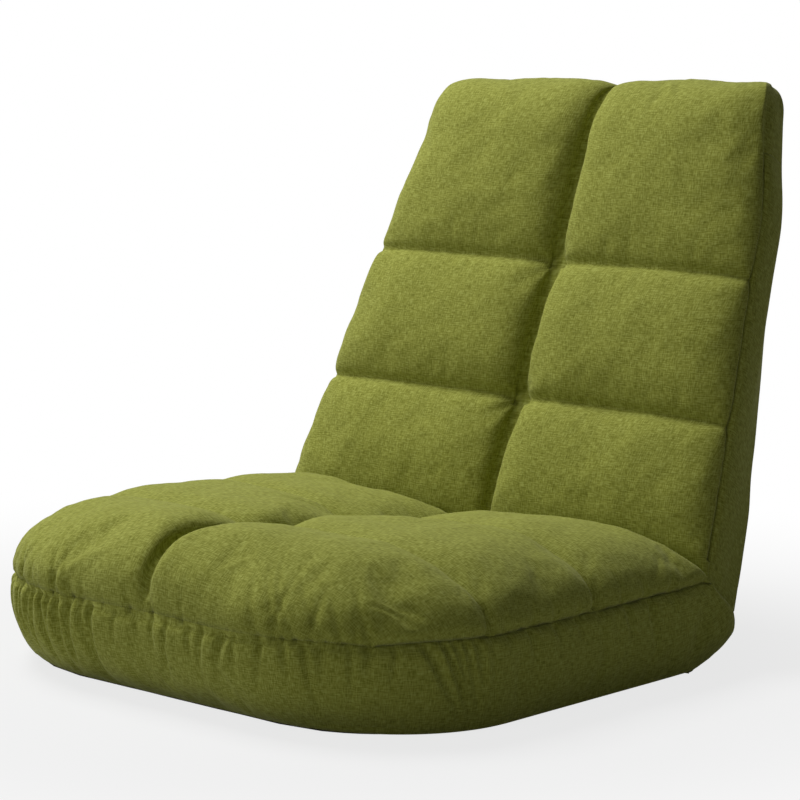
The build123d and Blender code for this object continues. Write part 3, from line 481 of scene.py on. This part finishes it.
def blow_up(piece, held, reach, slack):
    """Fills the sewn cover: slack cloth under pressure, held at its stitches, swells by reach at most."""
    start = places(piece)
    stitches = piece.vertex_groups.new(name="stitches")
    for level in (1.0, 0.5):
        chosen = np.nonzero(np.isclose(held, level))[0]
        stitches.add([int(k) for k in chosen], level, "REPLACE")
    work_on(piece)
    filling = piece.modifiers.new("filling", "CLOTH")
    cloth = filling.settings
    cloth.quality = 6
    cloth.mass = 0.3
    cloth.tension_stiffness = cloth.compression_stiffness = 18
    cloth.shear_stiffness = 8
    cloth.bending_stiffness = 0.4
    cloth.air_damping = 2
    cloth.vertex_group_mass = "stitches"
    cloth.shrink_min = -slack
    cloth.use_pressure = True
    cloth.uniform_pressure_force = 4
    cloth.effector_weights.gravity = 0
    filling.collision_settings.use_collision = False
    last = 20
    filling.point_cache.frame_start, filling.point_cache.frame_end = 1, last
    for step in range(1, last + 1):
        bpy.context.scene.frame_set(step)
    bpy.ops.object.modifier_apply(modifier="filling")
    moved = places(piece) - start
    length = np.maximum(np.linalg.norm(moved, axis=1, keepdims=True), 1e-9)
    put(piece, start + moved * (reach * np.tanh(length / reach) / length))
    bpy.context.scene.frame_set(1)


def refine(piece):
    """Takes out the face that closed the cover while it was filled, and halves the mesh's cells, smoothly."""
    work_on(piece)
    bpy.ops.object.mode_set(mode="EDIT")
    bpy.ops.mesh.select_mode(type="FACE")
    bpy.ops.mesh.select_all(action="DESELECT")
    bpy.ops.object.mode_set(mode="OBJECT")
    for face in piece.data.polygons:
        face.select = piece.data.attributes["panel"].data[face.index].value < 0
    bpy.ops.object.mode_set(mode="EDIT")
    bpy.ops.mesh.delete(type="ONLY_FACE")
    bpy.ops.object.mode_set(mode="OBJECT")
    finer = piece.modifiers.new("finer", "SUBSURF")
    finer.levels = finer.render_levels = 1
    bpy.ops.object.modifier_apply(modifier="finer")


def ripple(points, size, seed):
    """Uneven swelling of the cloth, about 1 high, with folds of a size."""
    spots = points / size + seed
    return np.array([noise.noise(Vector(spot)) for spot in spots])


def dip(distance, width, power=1.3):
    """A stitched valley or a fold, 1 deep at its line."""
    return np.exp(-((np.abs(distance) / width) ** power))


def cut_out(whole, name, numbers, finish):
    """One piece of the cover, of the panels with these numbers, with the cloth's thickness."""
    mesh = whole.data
    corner = np.zeros(len(mesh.loops), np.int32)
    mesh.loops.foreach_get("vertex_index", corner)
    spot = np.zeros(len(mesh.loops) * 2, np.float32)
    mesh.uv_layers["weave"].data.foreach_get("uv", spot)
    panel = np.zeros(len(mesh.polygons), np.int32)
    mesh.attributes["panel"].data.foreach_get("value", panel)
    chosen = np.isin(panel, numbers)
    corner, spot = corner.reshape(-1, 4)[chosen], spot.reshape(-1, 4, 2)[chosen]
    used, local = np.unique(corner, return_inverse=True)
    made = bpy.data.meshes.new(name)
    made.from_pydata(places(whole)[used], [], local.reshape(-1, 4).tolist())
    made.uv_layers.new(name="weave").data.foreach_set("uv", spot.ravel())
    made.materials.append(finish)
    piece = bpy.data.objects.new(name, made)
    bpy.context.scene.collection.objects.link(piece)
    work_on(piece)
    bpy.ops.object.shade_smooth()
    cloth = piece.modifiers.new("thickness", "SOLIDIFY")
    cloth.thickness, cloth.offset = 0.0014, -1.0
    bpy.ops.object.modifier_apply(modifier="thickness")
    return piece


def along_seat(x, y):
    """Length along the sewn edge from the middle of the seat's front, + to the +X side."""
    flat_front = seat_half - seat_corner
    side = np.abs(x) - flat_front
    ahead = seat_front + seat_corner - y
    angle = np.arctan2(np.maximum(side, 0), np.maximum(ahead, 1e-6))
    on_corner = flat_front + seat_corner * angle
    on_side = flat_front + seat_corner * np.pi / 2 + np.maximum(-ahead, 0)
    run = np.where(side <= 0, np.abs(x), np.where(ahead > 0, on_corner, on_side))
    return np.sign(x) * run


# Stitches hold the cover at its seams, its channels, the floor and the crease while the filling blows it up
on_line, low_stitch, floor_hem, crease_hem = 1e-6, 0.125, 0.004, 0.012
seat_swell, seat_slack = 0.007, 0.010
seat_panels = [(seat_panel_grid, seat_panel_lay), (band_grid, band_lay)]
seat_cover = sew("seat_cover", seat_panels, close=band_grid[-1, :-1])
x, y, z = places(seat_cover).T
on_panel = z > seam_height - 1e-5
held = np.zeros(len(z))
held[on_panel & (np.abs(x) < on_line)] = 1.0
for row in seat_rows:
    held[on_panel & (np.abs(y - row) < on_line) & (z < low_stitch)] = 0.5
held[np.abs(z - seam_height) < on_line] = 1.0
held[(z < floor_hem) | (y > crease_at(z) - crease_hem)] = 1.0
blow_up(seat_cover, held, seat_swell, seat_slack)
refine(seat_cover)

# Channels and seams of the seat, each a depth and the width of its valley
p, n = places(seat_cover), facing(seat_cover)
x, y, z = p.T
run = along_seat(x, y)
inside = seat_outward(x, y)[2]
above = np.where(z > seam_height, np.hypot(np.maximum(inside, 0), z - seam_height), 0)
below = np.maximum(seam_height - z, 0)
panel = z > seam_height + 1e-4
band = (z < seam_height) & (y < 0.235)
off_edge = ramp(above, 0, 0.025)
shift = np.where(panel, (-0.006 * dip(x, 0.006) - 0.002 * dip(x, 0.02)) * off_edge, 0)
row_depth = 0.002 + 0.010 * np.exp(-above / 0.045) + 0.003 * dip(x, 0.05)
for row in seat_rows:
    valley = 0.6 * dip(y - row, 0.009) + 0.4 * dip(y - row, 0.003)
    shift -= np.where(panel, row_depth * valley * off_edge**0.3, 0)
shift -= 0.0065 * np.where(y < 0.225, dip(np.hypot(above, below), 0.004), 0)

# Gathers over the sewn edge: from and to along the edge, how many, and how far up they run
gathers = (
    (0.14, 0.25, 9, 0.026),
    (-0.25, -0.08, 12, 0.024),
    (-0.05, 0.11, 6, 0.012),
    (0.38, 0.6, 8, 0.012),
)
pleat = np.random.default_rng(5)
for low, high, count, up in gathers:
    for spot in np.linspace(low, high, count) + pleat.uniform(-0.004, 0.004, count):
        width = pleat.uniform(0.0026, 0.004)
        tall = pleat.uniform(0.6, 1.5) * up
        tilt = pleat.uniform(-0.6, 0.3)
        fold = dip(run - spot - tilt * above, width, 2) * np.exp(-above / tall) * ramp(above, 0, 0.004)
        shift -= np.where(panel, pleat.uniform(0.002, 0.006) * fold, 0)
shift += np.where(panel, 0.0022 * ripple(p, 0.05, 3.1) + 0.0008 * ripple(p, 0.018, 7.7), 0)

# Pleats of the band: from and to, how many, how far down they run, how strong they are, and the corner
# seam that they lean to. Where pleats meet they sink no deeper than one fold can.
corner_seam, lean_length, fold_limit = 0.359, 0.13, 0.009
pleats = (
    (0.286, 0.348, 6, 0.055, 1, corner_seam),
    (-0.348, -0.286, 6, 0.055, 1, -corner_seam),
    (-0.245, -0.065, 13, 0.05, 1, None),
    (-0.03, 0.27, 15, 0.034, 0.55, None),
    (0.38, 0.6, 8, 0.02, 0.55, None),
)
folds = 0 * run
for low, high, count, long, strong, seam in pleats:
    for spot in np.linspace(low, high, count) + pleat.uniform(-0.005, 0.005, count):
        width = pleat.uniform(0.0028, 0.0048)
        tall = pleat.uniform(0.5, 1.5) * long
        tilt = (seam - spot) / lean_length if seam else pleat.uniform(-0.2, 0.2)
        fold = dip(run - spot - tilt * below, width, 2) * dip(below, tall, 2) * ramp(below, 0, 0.005)
        folds += pleat.uniform(0.004, 0.011) * strong * fold
shift -= np.where(band, fold_limit * np.tanh(folds / fold_limit) * ramp(z, 0.004, 0.03), 0)
seam_fade = (1 - ramp(below, 0, 0.075)) ** 0.5
shift -= np.where(band, 0.002 * dip(np.abs(run) - corner_seam, 0.004) * seam_fade, 0)
shift -= np.where(band, 0.0015 * dip(run, 0.006) * np.exp(-below / 0.03), 0)
shift += np.where(band & (z > 0.006), 0.002 * ripple(p, 0.04, 11.3), 0)
p += n * shift[:, None]
foam_top, foam_edge, foam_rear = 0.098, 0.05, 0.2
over_foam = panel & (inside > foam_edge) & (y < foam_rear)
p[:, 2] = np.where(over_foam, np.maximum(p[:, 2], foam_top), p[:, 2])
put(seat_cover, p)


def worked_out(tree, operation, first, second):
    """A value from two others, each a socket or a number."""
    sum_node = tree.nodes.new("ShaderNodeMath")
    sum_node.operation = operation
    for socket, value in zip(sum_node.inputs, (first, second)):
        if isinstance(value, float):
            socket.default_value = value
        else:
            tree.links.new(value, socket)
    return sum_node.outputs[0]


cover_cloth, tree, shader = new_finish("cover_cloth", 0.88)
weft = grain(tree, (130, 900, 1), 1, "weave")
warp = grain(tree, (900, 150, 1), 1, "weave")
threads = worked_out(tree, "MULTIPLY", worked_out(tree, "ADD", weft, warp), 0.5)
shaded, plain, lit = (0.165, 0.172, 0.016), (0.265, 0.28, 0.044), (0.375, 0.4, 0.09)
tint(tree, shader, threads, [(0.34, shaded), (0.5, plain), (0.66, lit)])
relief(tree, shader, threads, 0.0004)
shader.inputs["Specular IOR Level"].default_value = 0.1
shader.inputs["Sheen Weight"].default_value = 0.1
shader.inputs["Sheen Roughness"].default_value = 0.5
shader.inputs["Sheen Tint"].default_value = (0.9, 0.92, 0.75, 1.0)

# The seat cover cut into its top panel and its side band, which stand in for the CAD's pieces
for name, number, node in (("seat_top_panel", 0, "seat_quilted_panel"), ("seat_side_band", 1, "seat_boxing")):
    piece = cut_out(seat_cover, name, [number], cover_cloth)
    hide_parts(node)
    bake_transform(piece)
bpy.data.objects.remove(seat_cover)


# Cloth under the seat: thin black non-woven cloth, stretched flat and sewn in along the band's lower edge.
# It lies on the floor.
under_half, under_front, under_rear, under_corner = 0.262, -0.1845, 0.2, 0.132
under_height, under_ripple = 0.0006, 0.0002
bpy.ops.object.select_all(action="DESELECT")
bpy.ops.mesh.primitive_grid_add(x_subdivisions=60, y_subdivisions=50, size=2.0)
underside = bpy.context.object
underside.name = underside.data.name = "seat_underside"
p = places(underside)
y = under_front + (p[:, 1] + 1) / 2 * (under_rear - under_front)
into = np.clip(under_front + under_corner - y, 0, under_corner)
p[:, 0] *= under_half - under_corner + np.sqrt(under_corner**2 - into**2)
p[:, 1] = y
p[:, 2] = under_height + under_ripple * ripple(p, 0.03, 5.5)
put(underside, p)
non_woven, tree, shader = new_finish("non_woven", 0.95)
spun = grain(tree, (500, 900, 500), 4)
tint(tree, shader, spun, [(0.35, (0.008, 0.008, 0.008)), (0.7, (0.03, 0.03, 0.03))])
relief(tree, shader, spun, 0.0003)
underside.data.materials.append(non_woven)
bpy.ops.object.shade_smooth()
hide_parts("seat_underside_cloth")
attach(underside, "seat")


# Back cover: a quilted front panel in two columns of three puffs that rolls over the top edge, a plain band
# down each side and a plain rear panel. The same cloth as the seat, sewn, then blown up by its filling.
back_lean = math.radians(22.5)
up_y, up_z = math.sin(back_lean), math.cos(back_lean)
back_foot, back_taper, back_tip, back_corner = 0.280, 0.12216, 0.528, 0.026
roll_start, roll_length, roll_round = 0.448, 0.080, 2.8
back_seam, back_puff, back_rear, back_edge = 0.038, 0.029, 0.0155, 0.105
back_rows, low_row, top_row_part = (0.187, 0.328), 0.141, 0.6
back_row_dip, back_row_round = 0.6, 0.65
back_centre_dip, back_valley = 0.66, 0.065


def from_back(x, up, out):
    """A place in the chair, from one across, up and out of the back."""
    return np.stack([x, hinge_y + up_y * up - up_z * out, hinge_z + up_z * up + up_y * out], axis=-1)


def on_back(points):
    """Across, up and out of the back, for places in the chair."""
    y, z = points[..., 1] - hinge_y, points[..., 2] - hinge_z
    return points[..., 0], up_y * y + up_z * z, -up_z * y + up_y * z


def back_width(up):
    """Half the width of the back along its sewn edge."""
    top = np.clip(up - (back_tip - back_corner), 0, back_corner)
    return back_foot - back_taper * up - (back_corner - np.sqrt(back_corner**2 - top**2))


def roll_share(up):
    """How thick the back still is where it rolls over the top, from 1 to 0."""
    rolled = np.clip(up - roll_start, 0, roll_length) / roll_length
    return np.clip(1 - rolled**roll_round, 0, 1) ** (1 / roll_round)


def back_front(x, up, fill=1.0):
    """How far the quilted panel stands out of the back."""
    half = back_width(np.minimum(up, roll_start))
    inside = np.clip((half - np.abs(x)) / back_edge, 0, 1)
    edge = np.sqrt(np.clip(1 - (1 - inside) ** 2, 0, 1))
    middle = 1 - back_centre_dip * (1 - np.sqrt(1 - np.clip(1 - np.abs(x) / back_valley, 0, 1) ** 2))
    low, high = back_rows
    low_share = np.clip((low - up) / low_row, 0, 1)
    mid_share = ramp(up, low, high - low)
    top_share = ramp(up, high, roll_start - high) * top_row_part
    share = np.where(up < low, low_share, np.where(up < high, mid_share, top_share))
    row = back_row_dip + (1 - back_row_dip) * np.sin(np.pi * share) ** back_row_round
    return (back_seam + back_puff * fill * edge * middle * row) * roll_share(up)


def back_line(share, up):
    """Up and out of the back along one line of the quilted panel's cloth."""
    return np.stack([up, back_front(share * back_width(up), up, back_fill)], axis=1)


# The front panel's grid: the low row down into the crease, the middle row, and the top row over the roll
back_fill, half_cells, low_cells, mid_cells, top_cells = 0.95, 56, 38, 27, 46
mid_row = 0.2575
plane_up, plane_out, plane_gap = 0.7342, 0.6786, 0.0015
foot_reach, low_limit, low_roll = 0.0575, 0.02, 0.026
columns = even_columns(lambda x: back_front(x, mid_row + 0 * x), back_width(mid_row), half_cells)
up_crease = np.array([plane_up, plane_out])
low_up = np.linspace(back_rows[0], low_limit, 600)
mid_up = np.linspace(*back_rows, 400)
rolled_up = roll_start + roll_length * np.sin(np.linspace(0.01, np.pi / 2, 600)) ** 0.7
top_up = np.concatenate([np.linspace(back_rows[1], roll_start, 200), rolled_up])
low_part, mid_part, top_part = [], [], []
for share in columns:
    line = back_line(share, low_up)
    met = np.argmax(line[:, 0] * plane_out - line[:, 1] * plane_up < plane_gap)
    line = tucked(line[: met + 1], line[met], -up_crease, up_crease * foot_reach, low_roll)
    low_part.append(spaced(line, low_cells)[::-1])
    mid_part.append(spaced(back_line(share, mid_up), mid_cells)[1:])
    top_part.append(spaced(back_line(share, top_up), top_cells)[1:])
lines = np.concatenate([np.stack(part, axis=1) for part in (low_part, mid_part, top_part)])
up, out = lines[..., 0], lines[..., 1]
back_panel_grid = from_back(columns[None] * back_width(up), up, out)
across_run = run_along(back_panel_grid, 1)
across_run = across_run - across_run[:, half_cells : half_cells + 1]
back_panel_lay = np.stack([across_run, run_along(back_panel_grid, 0)], axis=2)


def band_inset(out_share, up):
    """How far the side band leans in, from its front seam (1) past the middle (0) to its rear seam (-1)."""
    rear_lean = 0.016 - 0.011 * ramp(up, 0.3, -0.2)
    lean = np.where(out_share > 0, 0.006 * (1 - out_share), 0.006 - rear_lean * out_share)
    return lean * roll_share(up)


def low_swell(up):
    """How much thicker the rear of the back gets towards its foot."""
    return 0.0115 * ramp(up, 0.45, -0.27)


# The side bands, the rear panel between their rear seams, and the sole that closes the cover at its foot
strip_cells, strip_drop, rear_puff = 12, 0.017, 0.006
shares = np.linspace(1, -1, strip_cells + 1)[:, None]
side_bands = []
for side, edge in ((-1, 0), (1, -1)):
    front_up, front_out = up[:, edge], out[:, edge]
    rear_out = -(back_rear + low_swell(front_up)) * roll_share(front_up)
    band_out = np.where(shares > 0, front_out * shares, -rear_out * shares)
    band_up = front_up - strip_drop * (1 - shares) / 2 * (1 - ramp(front_up, 0.042, 0.08))
    lean_in = band_inset(shares, front_up[None])
    grid = from_back(side * (back_width(band_up) - lean_in), band_up, band_out)
    grid[0] = back_panel_grid[:, edge]
    side_bands.append(grid)
left_band, right_band = side_bands
sideways = ((columns + 1) / 2)[None, :, None]
rear_grid = (1 - sideways) * left_band[-1][:, None] + sideways * right_band[-1][:, None]
rear_x, rear_up, rear_out = on_back(rear_grid)
swollen = np.sin(np.pi * np.clip(sideways[..., 0], 0, 1)) ** 0.5
swollen = swollen * np.sin(np.pi * np.clip(rear_up / back_tip, 0, 1)) ** 0.5
swollen = swollen * (rear_puff - low_swell(rear_up))
rear_grid = from_back(rear_x, rear_up, rear_out - swollen * roll_share(rear_up))
rear_grid[:, 0], rear_grid[:, -1] = left_band[-1], right_band[-1]
rear_grid[-1] = back_panel_grid[-1]
sole_share = np.linspace(0, 1, strip_cells // 2 + 1)[:, None, None]
sole_grid = (1 - sole_share) * back_panel_grid[0][None] + sole_share * rear_grid[0][None]
sole_grid[:, 0], sole_grid[:, -1] = left_band[::2, 0], right_band[::2, 0]


def plain_lay(grid):
    """Place on the cloth of a plain panel."""
    return np.stack([run_along(grid, 1), run_along(grid, 0)], axis=2)


# Where the bands and the rear panel end, the front panel's cloth goes on over the top
top_seam = int(np.argmax(up[:, 0] > roll_start))
parts = [(back_panel_grid, back_panel_lay)]
for grid in side_bands:
    lay = plain_lay(grid)[..., ::-1]
    parts.append((grid[:, : top_seam + 1], lay[:, : top_seam + 1]))
    parts.append((grid[:, top_seam:], lay[:, top_seam:]))
lay = plain_lay(rear_grid)
parts.append((rear_grid[: top_seam + 1], lay[: top_seam + 1]))
parts.append((rear_grid[top_seam:], lay[top_seam:]))
parts.append((sole_grid, plain_lay(sole_grid)))
back_cover = sew("back_cover", parts)
back_swell, back_slack = 0.006, 0.004
x, rise, stand = on_back(places(back_cover))
held = np.zeros(len(x))
front = stand > back_seam * roll_share(rise) * 0.98
held[front & (np.abs(x) < on_line)] = 1.0
for row in back_rows:
    held[front & (np.abs(rise - row) < on_line)] = 1.0
held[np.abs(np.abs(x) - back_width(rise)) < on_line] = 1.0
held[stand < 0.001] = 1.0
held[rise * plane_out - stand * plane_up < crease_hem] = 1.0
blow_up(back_cover, held, back_swell, back_slack)
refine(back_cover)

# Channels and seams of the back, each a depth and the width of its valley, and the pull at their crossings
p, n = places(back_cover), facing(back_cover)
x, rise, stand = on_back(p)
seam_out = back_seam * roll_share(rise)
front = stand > seam_out - 0.001
inside = np.maximum(back_width(np.minimum(rise, roll_start)) - np.abs(x), 0)
shift = np.where(front, -0.003 * dip(x, 0.0035) - 0.004 * dip(x, 0.015), 0)
for row in back_rows:
    crossing = np.hypot(x, rise - row)
    shift -= np.where(front, 0.0025 * dip(rise - row, 0.009) + 0.003 * dip(rise - row, 0.003), 0)
    shift -= np.where(front, 0.002 * dip(crossing, 0.022), 0)
    pulls = np.sin(6 * np.arctan2(rise - row, x + 1e-9)) * np.exp(-crossing / 0.035)
    shift += np.where(front, 0.0012 * pulls, 0)
shift -= np.where(rise > 0.06, 0.004 * dip(np.hypot(inside, stand - seam_out), 0.0045, 1.6), 0)
shift += np.where(front, 0.0022 * ripple(p, 0.05, 21.3) + 0.0008 * ripple(p, 0.018, 27.9), 0)
shift += np.where(~front & (rise > 0.05), 0.0016 * ripple(p, 0.05, 31.7), 0)
p += n * shift[:, None]

# The cloth stays over the foam, and the finished back is a little crooked: drawn in and lifted at one corner
back_foam_out, top_half = 0.0368, 0.2155
top_draw, top_lift, low_draw = 0.019, 0.007, 0.004
x, rise, stand = on_back(p)
on_foam = front & (rise > 0.065) & (rise < 0.49) & (inside > 0.012)
stand = np.maximum(stand, np.where(on_foam, back_foam_out * roll_share(rise), stand))
lean = np.clip(rise / back_tip, 0, 1) ** 1.5
drawn = ramp(rise, 0.38, 0.148)
drawn = drawn**2 * (3 - 2 * drawn) * np.clip(x / top_half, -0.25, 1) * top_draw
drawn += low_draw * ramp(-x, 0, 0.2) * ramp(rise, 0.42, -0.1)
put(back_cover, from_back(x - drawn, rise + top_lift * lean * np.clip(x / top_half, -1, 1), stand))

for name, numbers, node, fill in (
    ("back_front_panel", [0, 2, 4, 6], "back_quilted_panel", 0.8),
    ("back_side_strips", [1, 3], "back_side_bands", 0.6),
    ("back_plain_panel", [5, 7], "back_rear_panel", 0.5),
):
    piece = cut_out(back_cover, name, numbers, cover_cloth)
    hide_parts(node)
    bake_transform(piece)
bpy.data.objects.remove(back_cover)


# Crease roll: the soft edge of both cushions, sewn together under the fold between the seat and the back.
# Cover cloth over fibre; it lies under both quilted panels.
crease_half, crease_y, cover_gap = 0.262, 0.205, 0.016
fold_y, fold_z = 0.346, 0.938
crease_lines = []
for x in np.linspace(-1, 1, 81) * crease_half:
    tall = float(seat_top(np.array(x), np.array(crease_y))) - cover_gap
    wide = 0.006 + 0.5 * max(tall - 0.075, 0)
    rear_side = [(0.0, 0.034), (-wide, 0.04), (-wide * 1.2, 0.06), (0, tall - 0.03)]
    front_side = [(wide * 1.2, 0.06), (wide, 0.04), (0.0, 0.034)]
    out, up = spaced(flowing(rear_side + front_side), 28).T
    line_y = hinge_y - fold_y * up + fold_z * out
    line_z = hinge_z + fold_z * up + fold_y * out
    crease_lines.append(np.stack([x + 0 * out, line_y, line_z], axis=1))
roll_grid = np.stack(crease_lines)
roll = sew("crease_fold", [(roll_grid, plain_lay(roll_grid))])
work_on(roll)
bpy.ops.object.mode_set(mode="EDIT")
bpy.ops.mesh.select_all(action="SELECT")
bpy.ops.mesh.fill_holes(sides=0)
bpy.ops.mesh.normals_make_consistent(inside=False)
bpy.ops.object.mode_set(mode="OBJECT")
bpy.ops.object.shade_smooth()
roll.data.materials.append(cover_cloth)
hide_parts("crease_roll")
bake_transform(roll)


# Studio: a plain white floor and surround, a large soft lamp overhead at the left, and two weak ones at the
# front and at the left. The floor keeps the chair's shadow.
scene = bpy.context.scene
scene.view_settings.view_transform = "Standard"
bpy.ops.object.select_all(action="DESELECT")
bpy.ops.mesh.primitive_plane_add(size=30, location=(0, 0, -0.0005))
floor = bpy.context.object
floor.name = "studio_floor"
floor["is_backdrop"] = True
pale_floor, tree, shader = new_finish("pale_floor", 0.9)
shader.inputs["Base Color"].default_value = (0.5, 0.5, 0.5, 1)
shader.inputs["Specular IOR Level"].default_value = 0.0
glow = tree.nodes.new("ShaderNodeEmission")
reach = tree.nodes.new("ShaderNodeVectorMath")
reach.operation = "LENGTH"
tree.links.new(tree.nodes.new("ShaderNodeTexCoord").outputs["Object"], reach.inputs[0])
fade = tree.nodes.new("ShaderNodeMapRange")
fade.interpolation_type = "SMOOTHSTEP"
for socket, value in (("From Min", 0.35), ("From Max", 0.95), ("To Min", 0.78), ("To Max", 1.0)):
    fade.inputs[socket].default_value = value
tree.links.new(reach.outputs["Value"], fade.inputs["Value"])


def seen_by_eye(tree):
    """1 for what the camera sees, straight, mirrored or through glass."""
    rays = tree.nodes.new("ShaderNodeLightPath")
    seen = rays.outputs["Is Camera Ray"]
    for kind in ("Is Glossy Ray", "Is Transmission Ray"):
        seen = worked_out(tree, "MAXIMUM", seen, rays.outputs[kind])
    return seen


def mixed(tree, share, first, second, end):
    """Ends a node tree in a mix of two shaders, with a share of the second."""
    mix = tree.nodes.new("ShaderNodeMixShader")
    tree.links.new(share, mix.inputs["Fac"])
    tree.links.new(first.outputs[0], mix.inputs[1])
    tree.links.new(second.outputs[0], mix.inputs[2])
    tree.links.new(mix.outputs[0], tree.nodes[end].inputs["Surface"])


glow_share = worked_out(tree, "MULTIPLY", fade.outputs["Result"], seen_by_eye(tree))
mixed(tree, glow_share, shader, glow, "Material Output")
floor.data.materials.append(pale_floor)

world = bpy.data.worlds.new("surround")
scene.world = world
world.use_nodes = True
tree = world.node_tree
soft = tree.nodes["Background"]
soft.inputs["Color"].default_value = (1, 1, 1, 1)
soft.inputs["Strength"].default_value = 0.09
white = tree.nodes.new("ShaderNodeBackground")
white.inputs["Strength"].default_value = 1.0
mixed(tree, seen_by_eye(tree), soft, white, "World Output")

lamp_aim = Vector((0, 0.05, 0.2))
for name, place, size, power in (
    ("key_lamp", (-1.5, 0.0, 2.6), 1.4, 82),
    ("front_lamp", (-0.2, -2.8, 1.1), 1.0, 7),
    ("left_lamp", (-2.6, -1.5, 1.0), 0.7, 12),
):
    lamp = bpy.data.lights.new(name, "AREA")
    lamp.size, lamp.energy = size, power
    light = bpy.data.objects.new(name, lamp)
    scene.collection.objects.link(light)
    light.location = place
    light.rotation_euler = (lamp_aim - Vector(place)).to_track_quat("-Z", "Y").to_euler()

# The camera's place and turn as fitted to the photograph
camera = bpy.data.objects.new("camera", bpy.data.cameras.new("camera"))
scene.collection.objects.link(camera)
camera.data.lens, camera.data.sensor_width = 148.5, 36.0
camera.data.clip_end = 60
camera.matrix_world = Matrix(
    (
        (0.73195, -0.10565, 0.67312, 2.10269),
        (0.68136, 0.11349, -0.72310, -2.15007),
        (0.0, 0.98791, 0.15506, 0.72166),
        (0, 0, 0, 1),
    )
)
scene.camera = camera

low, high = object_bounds()
